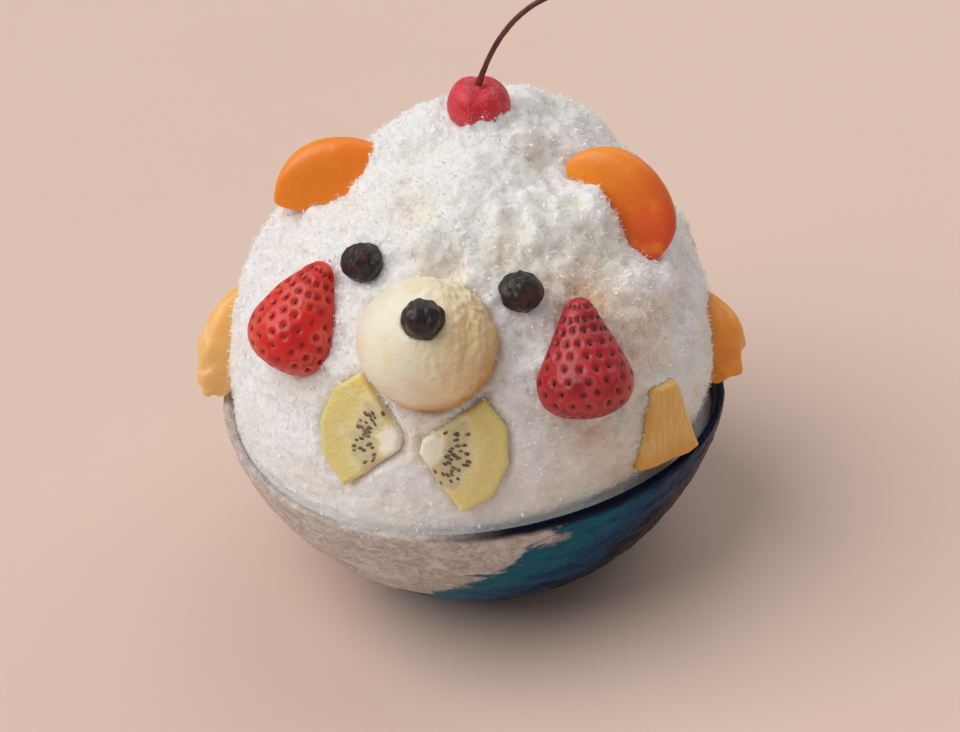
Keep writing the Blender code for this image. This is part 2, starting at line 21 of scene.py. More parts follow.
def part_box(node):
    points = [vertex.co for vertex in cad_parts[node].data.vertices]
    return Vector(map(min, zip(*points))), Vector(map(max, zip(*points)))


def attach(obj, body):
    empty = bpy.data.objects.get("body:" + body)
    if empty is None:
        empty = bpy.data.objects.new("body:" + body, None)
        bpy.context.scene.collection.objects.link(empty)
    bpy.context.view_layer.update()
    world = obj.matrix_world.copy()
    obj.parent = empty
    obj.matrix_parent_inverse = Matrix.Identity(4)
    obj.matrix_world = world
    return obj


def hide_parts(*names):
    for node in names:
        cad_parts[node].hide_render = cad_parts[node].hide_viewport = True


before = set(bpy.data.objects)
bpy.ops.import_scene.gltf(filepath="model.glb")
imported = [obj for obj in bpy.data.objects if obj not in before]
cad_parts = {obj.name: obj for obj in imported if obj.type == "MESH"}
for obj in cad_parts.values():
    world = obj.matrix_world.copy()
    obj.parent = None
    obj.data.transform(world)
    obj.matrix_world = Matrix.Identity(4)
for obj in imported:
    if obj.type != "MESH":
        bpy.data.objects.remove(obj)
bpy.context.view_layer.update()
BODY = "root"
MILLIMETRE = 0.001
SMOOTHING = 0.5

log = logging.getLogger("bingsu")

Colour = tuple[int, int, int]
Socket = bpy.types.NodeSocket


def tint(colour: Colour) -> tuple[float, float, float, float]:
    """Turns a colour as seen on a screen, 0 to 255, into the linear one that a shader takes."""
    linear = [(part / 255) ** 2.2 for part in colour]
    return (*linear, 1.0)


def smooth_step(low: float, high: float, value: float) -> float:
    """Rises from 0 at low to 1 at high without a corner."""
    share = min(1.0, max(0.0, (value - low) / (high - low)))
    return share * share * (3 - 2 * share)


def direction(azimuth: float, elevation: float) -> Vector:
    """Unit vector for an azimuth and an elevation in degrees."""
    turn, rise = math.radians(azimuth), math.radians(elevation)
    return Vector((math.cos(rise) * math.cos(turn), math.cos(rise) * math.sin(turn), math.sin(rise)))


def facing(azimuth: float, elevation: float, roll: float) -> Matrix:
    """Turn that looks a piece's +Z along a direction with its +Y up the slope, then rolls it about +Z.

    Args:
        azimuth: where the piece looks, in degrees.
        elevation: how far up it looks, in degrees.
        roll: how far it is turned about the way it looks, in degrees.

    Returns:
        The turn as a 4 by 4 matrix.
    """
    ahead = direction(azimuth, elevation)
    right = Vector((0, 0, 1)).cross(ahead).normalized()
    turned = Matrix((right, ahead.cross(right), ahead)).transposed().to_4x4()
    return turned @ Matrix.Rotation(math.radians(roll), 4, "Z")


def ripple(point: Vector, length: float, seed: float = 0.0) -> float:
    """Smooth noise between about -1 and 1 with bumps of one length."""
    return noise.noise(point / length + Vector((seed, seed * 1.7, seed * 0.6)))


def crumple(point: Vector, length: float, octaves: int = 3, seed: float = 0.0) -> float:
    """Rough noise between about -1 and 1, of several lengths, each half the one before."""
    return noise.fractal(point / length + Vector((seed, -seed, seed * 2)), 0.9, 2.0, octaves) * 0.7


def corners(work: bmesh.types.BMesh) -> np.ndarray:
    """The places of a bmesh's vertices as rows."""
    return np.array([vert.co[:] for vert in work.verts])


def cad_copy(node: str) -> bmesh.types.BMesh:
    """A CAD node's mesh as a bmesh of its own, with its loose triangles joined.

    Args:
        node: the node's name.

    Returns:
        The copy.
    """
    work = bmesh.new()
    work.from_mesh(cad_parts[node].data)
    bmesh.ops.remove_doubles(work, verts=work.verts, dist=1e-5)
    return work


def cad_tree(node: str) -> BVHTree:
    """Search tree of a CAD node's surface.

    Args:
        node: the node's name.

    Returns:
        The search tree.
    """
    work = cad_copy(node)
    tree = BVHTree.FromBMesh(work)
    work.free()
    return tree


def joined_tree(nodes: Sequence[str]) -> BVHTree:
    """Search tree of several CAD nodes' surfaces.

    Args:
        nodes: the nodes' names.

    Returns:
        The search tree.
    """
    work = bmesh.new()
    for node in nodes:
        work.from_mesh(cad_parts[node].data)
    tree = BVHTree.FromBMesh(work)
    work.free()
    return tree


def refined(work: bmesh.types.BMesh, levels: int, voxel: float = 0.0) -> bmesh.types.BMesh:
    """Rounds a coarse mesh, and remakes it of small even faces if it gets a voxel size.

    Args:
        work: the coarse mesh, which is freed.
        levels: how many times it is subdivided.
        voxel: side of the even faces, or 0 to keep the subdivided ones.

    Returns:
        The fine mesh.
    """
    mesh = bpy.data.meshes.new("coarse")
    work.to_mesh(mesh)
    work.free()
    item = bpy.data.objects.new("coarse", mesh)
    bpy.context.scene.collection.objects.link(item)
    if levels:
        rounding = item.modifiers.new("rounding", "SUBSURF")
        rounding.levels = rounding.render_levels = levels
    if voxel:
        even = item.modifiers.new("even", "REMESH")
        even.mode = "VOXEL"
        even.voxel_size = voxel
    bpy.context.view_layer.update()
    fine = bpy.data.meshes.new_from_object(item.evaluated_get(bpy.context.evaluated_depsgraph_get()))
    bpy.data.objects.remove(item, do_unlink=True)
    result = bmesh.new()
    result.from_mesh(fine)
    bpy.data.meshes.remove(fine)
    bpy.data.meshes.remove(mesh)
    return result


def calmed(work: bmesh.types.BMesh, times: int) -> None:
    """Smooths a bmesh's vertices a number of times.

    Args:
        work: the mesh.
        times: how many times it is smoothed.
    """
    axes = {"use_axis_x": True, "use_axis_y": True, "use_axis_z": True}
    for _ in range(times):
        bmesh.ops.smooth_vert(work, verts=work.verts, factor=SMOOTHING, **axes)


def shifted(work: bmesh.types.BMesh, moves: Sequence[Vector]) -> None:
    """Moves each vertex by its own step."""
    for vert, move in zip(work.verts, moves):
        vert.co += move


def raised(work: bmesh.types.BMesh, height: Callable[[Vector, Vector], float]) -> None:
    """Moves each vertex along its normal by a height worked out from its place and normal."""
    work.normal_update()
    shifted(work, [vert.normal * height(vert.co, vert.normal) for vert in work.verts])


def sphere(cuts: tuple[int, int], degrees: float = 0.0, axis: str = "X") -> bmesh.types.BMesh:
    """Makes a sphere of radius 1 with its poles where the piece needs them.

    Args:
        cuts: how many segments go round it and how many rings it has.
        degrees: how far it is turned.
        axis: the axis that it is turned about.

    Returns:
        The sphere.
    """
    work = bmesh.new()
    bmesh.ops.create_uvsphere(work, u_segments=cuts[0], v_segments=cuts[1], radius=1.0)
    bmesh.ops.rotate(work, verts=work.verts, matrix=Matrix.Rotation(math.radians(degrees), 3, axis))
    return work


def bead() -> bmesh.types.BMesh:
    """Makes a bead of eight triangles, 1 across.

    Returns:
        The bead.
    """
    work = bmesh.new()
    bmesh.ops.create_uvsphere(work, u_segments=4, v_segments=2, radius=0.5)
    bmesh.ops.triangulate(work, faces=work.faces)
    return work


def settled(work: bmesh.types.BMesh, node: str, turn: Matrix) -> Matrix:
    """Turns a piece made about its own axes and moves it to where its CAD node is.

    Args:
        work: the piece on its own axes.
        node: the CAD node whose place it takes.
        turn: the way the piece looks.

    Returns:
        The pose that carries the piece's own axes to its place.
    """
    bmesh.ops.transform(work, matrix=turn, verts=work.verts)
    spots = corners(work)
    low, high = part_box(node)
    shift = (low + high) / 2 - Vector((spots.min(0) + spots.max(0)) / 2)
    bmesh.ops.translate(work, vec=shift, verts=work.verts)
    return Matrix.Translation(shift) @ turn


def finished(work: bmesh.types.BMesh, name: str, *materials: bpy.types.Material) -> bpy.types.Object:
    """Turns a bmesh into a smooth, outward-facing piece that rides on the body, and frees it.

    Args:
        work: the mesh, which is freed.
        name: the piece's name.
        materials: the piece's materials, one after the other.

    Returns:
        The piece.
    """
    bmesh.ops.recalc_face_normals(work, faces=work.faces)
    mesh = bpy.data.meshes.new(name)
    work.to_mesh(mesh)
    work.free()
    mesh.shade_smooth()
    return mounted(mesh, name, *materials)


def mounted(mesh: bpy.types.Mesh, name: str, *materials: bpy.types.Material) -> bpy.types.Object:
    """Makes a piece of a mesh, gives it its materials and lets it ride on the body.

    Args:
        mesh: the mesh.
        name: the piece's name.
        materials: the piece's materials, one after the other.

    Returns:
        The piece.
    """
    for material in materials:
        mesh.materials.append(material)
    piece = bpy.data.objects.new(name, mesh)
    bpy.context.scene.collection.objects.link(piece)
    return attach(piece, BODY)


class Recipe:
    """The node tree of one finish, written from the place on the piece to the shader."""

    def __init__(self, name: str) -> None:
        """Starts a material with its Principled shader.

        Args:
            name: the material's name.
        """
        self.material = bpy.data.materials.new(name)
        self.material.use_nodes = True
        self.tree = self.material.node_tree
        self.shader = self.tree.nodes["Principled BSDF"]

    def feed(self, socket: Socket, value: object) -> None:
        """Links a socket to another one, or sets its constant.

        Args:
            socket: the socket that is set.
            value: another socket, or a constant.
        """
        if isinstance(value, bpy.types.NodeSocket):
            self.tree.links.new(value, socket)
        else:
            socket.default_value = value

    def node(self, kind: str, inputs: dict, **settings: object) -> bpy.types.Node:
        """Adds a node with its settings and its inputs.

        Args:
            kind: the node's type.
            inputs: what its sockets get, by name or number.
            settings: its other settings.

        Returns:
            The node.
        """
        made = self.tree.nodes.new(kind)
        for key, value in settings.items():
            setattr(made, key, value)
        for key, value in inputs.items():
            self.feed(made.inputs[key], value)
        return made

    def place(self, pose: Matrix | None = None) -> Socket:
        """Where a point is, in the part's frame or on the piece's own axes if its pose is given.

        Args:
            pose: the pose of the piece's own axes, or None for the part's frame.

        Returns:
            The place.
        """
        spot = self.node("ShaderNodeTexCoord", {}).outputs["Object"]
        if pose is None:
            return spot
        inputs = {"Vector": spot, "Location": pose.translation, "Rotation": pose.to_euler()}
        return self.node("ShaderNodeMapping", inputs, vector_type="TEXTURE").outputs["Vector"]

    def stretched(self, vector: Socket, scale: tuple[float, float, float]) -> Socket:
        """Scales a place along each axis, to draw a pattern out."""
        return self.node("ShaderNodeMapping", {"Vector": vector, "Scale": scale}).outputs["Vector"]

    def noise(
        self, vector: Socket, length: float, detail: float = 3.0, rough: float = 0.55, warp: float = 0.0,
    ) -> Socket:
        """Cloudy noise from 0 to 1 with spots of one length.

        Args:
            vector: the place.
            length: how long the spots are.
            detail: how many finer layers it has.
            rough: how strong the finer layers are.
            warp: how far it is distorted.

        Returns:
            The noise.
        """
        inputs = {"Vector": vector, "Scale": 1 / length, "Detail": detail}
        inputs |= {"Roughness": rough, "Distortion": warp}
        return self.node("ShaderNodeTexNoise", inputs).outputs["Fac"]

    def cells(self, vector: Socket, length: float) -> Socket:
        """Distance to the nearest of many scattered points, in cells of one length."""
        inputs = {"Vector": vector, "Scale": 1 / length}
        return self.node("ShaderNodeTexVoronoi", inputs, feature="F1").outputs["Distance"]

    def axis(self, vector: Socket, name: str) -> Socket:
        """One coordinate of a place."""
        return self.node("ShaderNodeSeparateXYZ", {"Vector": vector}).outputs[name]

    def stored(self, name: str) -> Socket:
        """A value stored on the piece's own vertices."""
        return self.node("ShaderNodeAttribute", {}, attribute_name=name).outputs["Fac"]

    def sum(self, operation: str, first: object, second: object = 0.0) -> Socket:
        """One step of arithmetic on two values.

        Args:
            operation: what is done, such as ADD.
            first: a socket or a number.
            second: a socket or a number.

        Returns:
            The result.
        """
        made = self.node("ShaderNodeMath", {}, operation=operation)
        self.feed(made.inputs[0], first)
        self.feed(made.inputs[1], second)
        return made.outputs[0]

    def span(self, value: Socket, low: float, high: float, start: float = 0.0, end: float = 1.0) -> Socket:
        """Eases a value between low and high into one between start and end.

        Args:
            value: the value.
            low: where it starts to rise.
            high: where it stops.
            start: the result at low.
            end: the result at high.

        Returns:
            The eased value.
        """
        inputs = {"Value": value, "From Min": low, "From Max": high, "To Min": start, "To Max": end}
        made = self.node("ShaderNodeMapRange", inputs, interpolation_type="SMOOTHSTEP")
        return made.outputs["Result"]

    def mix(self, share: object, first: object, second: object) -> Socket:
        """Blends two colours, each a socket or a screen colour.

        Args:
            share: share of the second colour.
            first: the first colour.
            second: the second colour.

        Returns:
            The blend.
        """
        made = self.node("ShaderNodeMix", {}, data_type="RGBA")
        self.feed(made.inputs["Factor"], share)
        for socket, value in ((made.inputs[6], first), (made.inputs[7], second)):
            self.feed(socket, tint(value) if isinstance(value, tuple) else value)
        return made.outputs[2]

    def bump(self, height: Socket, distance: float, strength: float = 1.0) -> None:
        """Tips the surface by a height from 0 to 1, as deep as the distance."""
        inputs = {"Height": height, "Distance": distance, "Strength": strength}
        self.feed(self.shader.inputs["Normal"], self.node("ShaderNodeBump", inputs).outputs["Normal"])

    def done(self, **values: object) -> bpy.types.Material:
        """Sets the shader's sockets, each named with _ for a space, and gives back the material.

        Args:
            values: what the sockets get.

        Returns:
            The material.
        """
        for key, value in values.items():
            self.feed(self.shader.inputs[key.replace("_", " ")], value)
        return self.material


@dataclass(frozen=True)
class GlassFinish:
    """Hand-blown glass: clear and frosted at the left, teal, blue and navy towards the right."""

    clear: Colour = (246, 236, 228)
    teal: Colour = (26, 100, 122)
    blue: Colour = (8, 68, 106)
    navy: Colour = (6, 22, 44)
    night: Colour = (4, 6, 14)
    streak: Colour = (176, 182, 176)
    edge_low: float = -0.040
    edge_slope: float = 1.30
    tinted_width: float = 0.056
    frost: Colour = (252, 244, 238)
    smoke: Colour = (200, 186, 180)
    refraction: float = 1.25
    shine: float = 0.14

    def make(self) -> bpy.types.Material:
        """Builds the glass, its colour by place and its hammered, bubbly surface.

        Returns:
            The material.
        """
        recipe = Recipe("tinted_glass")
        place = recipe.place()
        across, high = recipe.axis(place, "X"), recipe.axis(place, "Z")
        slanted = recipe.sum("SUBTRACT", across, recipe.sum("MULTIPLY", high, self.edge_slope))
        drift = recipe.noise(recipe.stretched(place, (1, 1, 2.2)), 0.016, 4, 0.6, 0.6)
        wander = recipe.span(drift, 0.3, 0.7, -0.010, 0.010)
        edge = self.edge_low - 0.015 * self.edge_slope
        inward = recipe.sum("ADD", recipe.sum("SUBTRACT", slanted, edge), wander)
        share = recipe.sum("DIVIDE", inward, self.tinted_width)
        swirls = recipe.noise(recipe.stretched(place, (1, 1, 1.6)), 0.009, 6, 0.7, 1.5)
        frosted = recipe.mix(recipe.span(swirls, 0.40, 0.66), self.smoke, self.frost)
        bubbly = recipe.span(recipe.noise(place, 0.0018, 4), 0.45, 0.7, 0.0, 0.6)
        frosted = recipe.mix(bubbly, frosted, self.clear)
        colour = recipe.mix(recipe.span(share, 0.0, 0.16), frosted, self.teal)
        colour = recipe.mix(recipe.span(share, 0.25, 0.70), colour, self.blue)
        colour = recipe.mix(recipe.span(share, 0.66, 1.0), colour, self.navy)
        colour = recipe.mix(recipe.span(share, 0.95, 1.25), colour, self.night)
        lip = recipe.sum("MULTIPLY", recipe.span(high, 0.0555, 0.0585), recipe.span(across, -0.030, 0.005))
        colour = recipe.mix(lip, colour, self.navy)
        scratches = recipe.noise(recipe.stretched(place, (1, 1, 4)), 0.005, 5, 0.7, 1.2)
        tinted = recipe.span(share, 0.0, 0.35)
        fewer = recipe.span(tinted, 0.0, 1.0, 0.6, 0.14)
        streaked = recipe.sum("MULTIPLY", recipe.span(scratches, 0.64, 0.80), fewer)
        colour = recipe.mix(streaked, colour, self.streak)
        bubbles = recipe.span(recipe.cells(place, 0.0016), 0.0, 0.35, 0.5, 0.0)
        hammered = recipe.sum("ADD", recipe.noise(place, 0.0022, 3, 0.6), bubbles)
        recipe.bump(hammered, 0.0005, 0.7)
        return recipe.done(
            Base_Color=colour,
            Roughness=recipe.span(scratches, 0.35, 0.7, 0.10, 0.42),
            Transmission_Weight=recipe.span(tinted, 0.0, 1.0, 0.40, 0.06),
            IOR=self.refraction,
            Specular_IOR_Level=self.shine,
        )


@dataclass(frozen=True)
class IceFinish:
    """Shaved ice: white, soft and let through by light, with painted shade, faintly yellow, in its hollows,
    and juice stains that also paint shade.
    """

    snow: Colour = (252, 251, 249)
    hollow: Colour = (239, 230, 203)
    # Juice colour that also serves as painted shade, in the troughs near the top and on the shade side at the
    # lower right.
    juice_and_shade_colour: Colour = (238, 210, 178)
    depth: float = 0.0024
    grain: float = 0.0009
    refraction: float = 1.31

    def make(self, name: str, grainy: bool) -> bpy.types.Material:
        """Builds the ice.

        Args:
            name: the material's name.
            grainy: whether it has a grain in relief and painted shade in its hollows, as the heap has and its
                flakes don't.

        Returns:
            The material.
        """
        recipe = Recipe(name)
        place = recipe.place()
        cloudy = recipe.span(recipe.noise(place, 0.020, 3, 0.5), 0.45, 0.75, 0.0, 0.30)
        colour = recipe.mix(cloudy, self.snow, self.hollow)
        # Juice stains and painted shade, by the stored share.
        colour = recipe.mix(recipe.stored("juice_and_shade"), colour, self.juice_and_shade_colour)
        if not grainy:
            return recipe.done(Base_Color=colour, Roughness=0.5, IOR=self.refraction)
        # Painted shade: a darker, faintly yellow colour where the relief sinks, by the stored hollow share.
        colour = recipe.mix(recipe.stored("hollow"), colour, self.hollow)
        coarse = recipe.noise(place, self.grain * 3, 3, 0.6)
        recipe.bump(recipe.sum("ADD", recipe.noise(place, self.grain, 4, 0.65), coarse), 0.0005, 0.45)
        return recipe.done(
            Base_Color=colour,
            Roughness=0.5,
            Subsurface_Weight=1.0,
            Subsurface_Radius=(1.0, 1.0, 1.0),
            Subsurface_Scale=self.depth,
            IOR=self.refraction,
        )


@dataclass(frozen=True)
class IceCreamFinish:
    """Vanilla ice cream: pale where it is smooth, golden towards its right side and honey-coloured where it
    melts at the lower right; both also paint the shade there.
    """

    cream: Colour = (252, 244, 224)
    shade: Colour = (248, 230, 196)
    # Golden colour of melt and painted shade on the right side.
    golden_shade: Colour = (242, 208, 146)
    honey: Colour = (214, 158, 78)

    def make(self, pose: Matrix) -> bpy.types.Material:
        """Builds the ice cream over the ball's own axes.

        Args:
            pose: the pose of the piece's own axes.

        Returns:
            The material.
        """
        recipe = Recipe("ice_cream")
        place = recipe.place(pose)
        patches = recipe.noise(place, 0.010, 4, 0.6)
        colour = recipe.mix(recipe.span(patches, 0.40, 0.70), self.cream, self.shade)
        # Painted shade, with melt: golden towards the right side, away from the light, from nine tenths to
        # half as strong by the patches.
        shaded_right = recipe.span(recipe.axis(place, "X"), -0.004, 0.016)
        right_melt_and_shade = recipe.sum("MULTIPLY", shaded_right, recipe.span(patches, 0.30, 0.65, 0.9, 0.5))
        colour = recipe.mix(right_melt_and_shade, colour, self.golden_shade)
        # Melt and painted shade: honey colour along the lower right edge, by the stored share.
        colour = recipe.mix(recipe.stored("melt_and_shade"), colour, self.honey)
        recipe.bump(recipe.noise(place, 0.0011, 4, 0.65), 0.00035, 0.8)
        return recipe.done(
            Base_Color=colour,
            Roughness=0.42,
            Subsurface_Weight=0.6,
            Subsurface_Radius=(1.0, 0.8, 0.6),
            Subsurface_Scale=0.0015,
        )


@dataclass(frozen=True)
class RaisinFinish:
    """A near-black, glossy raisin skin that turns brown where it is thin."""

    skin: Colour = (32, 22, 23)
    thin: Colour = (98, 50, 36)
    bloom: Colour = (96, 86, 88)

    def make(self) -> bpy.types.Material:
        """Builds the skin.

        Returns:
            The material.
        """
        recipe = Recipe("raisin")
        place = recipe.place()
        worn = recipe.span(recipe.noise(place, 0.005, 3), 0.50, 0.72, 0.0, 0.8)
        dusty = recipe.span(recipe.noise(place, 0.0016, 4), 0.62, 0.78, 0.0, 0.3)
        colour = recipe.mix(dusty, recipe.mix(worn, self.skin, self.thin), self.bloom)
        wrinkles = recipe.noise(recipe.stretched(place, (1, 1, 0.40)), 0.0022, 4, 0.55, 1.5)
        recipe.bump(wrinkles, 0.0007, 0.65)
        return recipe.done(
            Base_Color=colour,
            Roughness=recipe.span(recipe.noise(place, 0.003, 2), 0.3, 0.7, 0.30, 0.52),
            Coat_Weight=0.15,
            Coat_Roughness=0.22,
        )


@dataclass(frozen=True)
class StrawberryFinish:
    """Moist strawberry skin: paler rings round the pits, painted as highlights, and a darker red within them,
    painted as shade.
    """

    skin: Colour
    deep: Colour
    # Paler colour painted on the pit rims as a highlight.
    highlit_rim: Colour

    def make(self, name: str, pose: Matrix) -> bpy.types.Material:
        """Builds the skin over the berry's own axes.

        Args:
            name: the material's name.
            pose: the pose of the piece's own axes.

        Returns:
            The material.
        """
        recipe = Recipe(name)
        place = recipe.place(pose)
        colour = recipe.mix(recipe.span(recipe.noise(place, 0.009, 3), 0.35, 0.70), self.skin, self.deep)
        patchy = recipe.sum("MULTIPLY", recipe.span(recipe.noise(place, 0.007, 2), 0.40, 0.65), 0.60)
        # Painted highlight: the paler colour on the rims round the pits, in patches.
        colour = recipe.mix(recipe.sum("MULTIPLY", recipe.stored("highlit_rim"), patchy), colour, self.highlit_rim)
        # Painted shade: a darker red within the pits.
        colour = recipe.mix(recipe.sum("MULTIPLY", recipe.stored("pit"), 0.7), colour, self.deep)
        recipe.bump(recipe.noise(place, 0.0010, 4), 0.00022, 0.7)
        return recipe.done(
            Base_Color=colour,
            Roughness=0.36,
            Subsurface_Weight=0.35,
            Subsurface_Radius=(1.0, 0.25, 0.15),
            Subsurface_Scale=0.0022,
            Coat_Weight=0.10,
            Coat_Roughness=0.18,
        )


@dataclass(frozen=True)
class FleshFinish:
    """Wet, juicy flesh, whose colour runs along the piece's own X axis."""

    left: Colour
    right: Colour
    fleck: Colour
    rough: float = 0.40
    depth: float = 0.0030
    speckle: float = 0.0016

    def make(self, name: str, pose: Matrix, half: float) -> bpy.types.Material:
        """Builds the flesh.

        Args:
            name: the material's name.
            pose: the piece's own axes.
            half: half of the piece's length.

        Returns:
            The material.
        """
        recipe = Recipe(name)
        place = recipe.place(pose)
        along = recipe.span(recipe.axis(place, "X"), -half, half)
        colour = recipe.mix(along, self.left, self.right)
        cloudy = recipe.noise(recipe.stretched(place, (0.6, 1, 1)), 0.006, 4, 0.6)
        colour = recipe.mix(recipe.span(cloudy, 0.50, 0.75, 0.0, 0.7), colour, self.fleck)
        height = recipe.noise(recipe.stretched(place, (1, 0.5, 1)), self.speckle, 3, 0.5)
        recipe.bump(height, 0.00022, 0.6)
        return recipe.done(
            Base_Color=colour,
            Roughness=self.rough,
            Subsurface_Weight=0.6,
            Subsurface_Radius=(1.0, 0.45, 0.15),
            Subsurface_Scale=self.depth,
            Coat_Weight=0.08,
            Coat_Roughness=0.25,
        )


@dataclass(frozen=True)
class KiwiFinish:
    """Moist kiwi: a pale core, a darker band for the seeds and yellow-green flesh, frosted by the ice."""

    flesh: Colour = (230, 212, 138)
    pale: Colour = (238, 226, 176)
    core: Colour = (250, 244, 226)
    shade: Colour = (184, 162, 124)
    core_reach: float = 0.0070
    seed_reach: float = 0.0135

    def make(self, name: str, pose: Matrix) -> bpy.types.Material:
        """Builds the flesh over the slice's own axes, whose origin is the core's middle.

        Args:
            name: the material's name.
            pose: the pose of the piece's own axes.

        Returns:
            The material.
        """
        recipe = Recipe(name)
        place = recipe.place(pose)
        flat = recipe.stretched(place, (1, 1, 0))
        reach = recipe.node("ShaderNodeVectorMath", {0: flat}, operation="LENGTH").outputs["Value"]
        wander = recipe.span(recipe.noise(place, 0.004, 3), 0.3, 0.7, -0.0016, 0.0016)
        ragged = recipe.sum("ADD", reach, wander)
        past_core = recipe.span(ragged, self.core_reach - 0.002, self.core_reach)
        past_seeds = recipe.span(ragged, self.seed_reach, self.seed_reach + 0.006)
        colour = recipe.mix(past_seeds, recipe.mix(past_core, self.core, self.pale), self.flesh)
        outer = recipe.span(ragged, 0.0165, 0.0135)
        band = recipe.sum("MULTIPLY", recipe.span(ragged, 0.0065, 0.0085), outer)
        colour = recipe.mix(recipe.sum("MULTIPLY", band, 0.45), colour, self.shade)
        cloudy = recipe.noise(place, 0.0035, 4, 0.6)
        colour = recipe.mix(recipe.span(cloudy, 0.5, 0.75, 0.0, 0.6), colour, self.pale)
        crystals = recipe.span(recipe.cells(place, 0.0011), 0.0, 0.5, 0.4, 0.0)
        recipe.bump(recipe.sum("ADD", recipe.noise(place, 0.0012, 4, 0.6), crystals), 0.0004, 0.8)
        return recipe.done(
            Base_Color=colour,
            Roughness=0.38,
            Subsurface_Weight=0.7,
            Subsurface_Radius=(0.9, 1.0, 0.45),
            Subsurface_Scale=0.0030,
            Coat_Weight=0.2,
            Coat_Roughness=0.2,
        )


@dataclass(frozen=True)
class PineappleFinish:
    """Moist pineapple with pale fibres that run from the narrow end to the wide one."""

    flesh: Colour = (236, 184, 98)
    fibre: Colour = (244, 208, 136)
    rind_side: Colour = (226, 156, 62)

    def make(self, pose: Matrix) -> bpy.types.Material:
        """Builds the flesh over the wedge's own axes, its narrow end at +Y.

        Args:
            pose: the pose of the piece's own axes.

        Returns:
            The material.
        """
        recipe = Recipe("pineapple")
        place = recipe.place(pose)
        fibres = recipe.noise(recipe.stretched(place, (1, 0.16, 1)), 0.0016, 4, 0.6, 0.4)
        colour = recipe.mix(recipe.span(fibres, 0.40, 0.72), self.flesh, self.fibre)
        low = recipe.span(recipe.axis(place, "Y"), -0.004, -0.013)
        colour = recipe.mix(recipe.sum("MULTIPLY", low, 0.8), colour, self.rind_side)
        recipe.bump(recipe.sum("ADD", fibres, recipe.noise(place, 0.0012, 3)), 0.0003, 0.6)
        return recipe.done(
            Base_Color=colour,
            Roughness=0.36,
            Subsurface_Weight=0.6,
            Subsurface_Radius=(1.0, 0.7, 0.3),
            Subsurface_Scale=0.0028,
            Coat_Weight=0.15,
            Coat_Roughness=0.2,
        )


@dataclass(frozen=True)
class PlainFinish:
    """A finish of two close colours in soft patches, for stems, seeds and the cherry."""

    main: Colour
    patch: Colour
    length: float
    rough: float
    soft: float = 0.0

    def make(self, name: str) -> bpy.types.Material:
        """Builds the finish.

        Args:
            name: the material's name.

        Returns:
            The material.
        """
        recipe = Recipe(name)
        place = recipe.place()
        patches = recipe.noise(place, self.length, 4, 0.6)
        recipe.bump(recipe.noise(place, self.length / 4, 3), self.length / 12, 0.5)
        return recipe.done(
            Base_Color=recipe.mix(recipe.span(patches, 0.38, 0.68), self.main, self.patch),
            Roughness=self.rough,
            Subsurface_Weight=self.soft,
            Subsurface_Radius=(1.0, 0.3, 0.2),
            Subsurface_Scale=0.002,
        )


@dataclass
class GlassBowl:
    """The hand-blown bowl, smooth inside and hammered outside."""

    finish: GlassFinish = field(default_factory=GlassFinish)
    roundings: int = 3
    hammer: float = 0.00035
    hammer_length: float = 0.006
    foot: float = 0.004
    bins: int = 90

    def build(self) -> bpy.types.Object:
        """Rounds the CAD bowl and hammers its outside.

        Returns:
            The bowl.
        """
        work = cad_copy("bowl")
        limits = {"angle_face_threshold": math.radians(40), "angle_shape_threshold": math.radians(60)}
        bmesh.ops.join_triangles(work, faces=work.faces, **limits)
        work = refined(work, self.roundings)
        self.middle = self.rim_middle(corners(work))
        raised(work, self.hammered)
        self.tree = BVHTree.FromBMesh(work)
        self.lip = self.lip_heights(corners(work))
        piece = finished(work, "bowl_glass", self.finish.make())
        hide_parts("bowl")
        return piece

    def hammered(self, place: Vector, normal: Vector) -> float:
        """Height of the hammer marks on the outside, none at the foot.

        Args:
            place: a place on the surface.
            normal: the normal there.

        Returns:
            The height.
        """
        outside = smooth_step(0.0, 0.3, normal.dot((place - self.middle).normalized()))
        drawn = Vector((place.x, place.y, place.z * 1.8))
        return self.hammer * outside * smooth_step(0.0, self.foot, place.z) * (
            ripple(drawn, self.hammer_length) + 0.6 * ripple(drawn, self.hammer_length / 3, 2.0))

    def rim_middle(self, spots: np.ndarray) -> Vector:
        """Middle of the bowl's rim, from its highest vertices.

        Args:
            spots: the bowl's vertices, one row each.

        Returns:
            The middle.
        """
        top = spots[spots[:, 2] > spots[:, 2].max() - 0.009]
        low, high = top.min(0), top.max(0)
        return Vector((*((low + high) / 2)[:2], float(np.median(top[:, 2]))))

    def lip_heights(self, spots: np.ndarray) -> np.ndarray:
        """Height of the lip's top for each of many steps round the rim.

        Args:
            spots: the bowl's vertices, one row each.

        Returns:
            The heights, one for each step.
        """
        around = np.arctan2(spots[:, 1] - self.middle.y, spots[:, 0] - self.middle.x)
        slot = ((around / (2 * np.pi) % 1.0) * self.bins).astype(int) % self.bins
        return np.array([spots[slot == step, 2].max() for step in range(self.bins)])

    def lip_height(self, azimuth: float) -> float:
        """Height of the lip's top at an azimuth in degrees.

        Args:
            azimuth: where on the rim, in degrees.

        Returns:
            The height.
        """
        step = azimuth / 360 % 1.0 * self.bins - 0.5
        whole, part = math.floor(step), step - math.floor(step)
        return float(self.lip[whole % self.bins] * (1 - part) + self.lip[(whole + 1) % self.bins] * part)


@dataclass(frozen=True)
class Patch:
    """A round patch of the heap: a swelling or hollow by its height, or, by its share, juice stain and
    painted shade.
    """

    azimuth: float
    elevation: float
    spread: float
    amount: float

    def at(self, toward: Vector) -> float:
        """How much of the patch there is in a direction."""
        apart = math.degrees(toward.angle(direction(self.azimuth, self.elevation)))
        return self.amount * math.exp(-((apart / self.spread) ** 2))


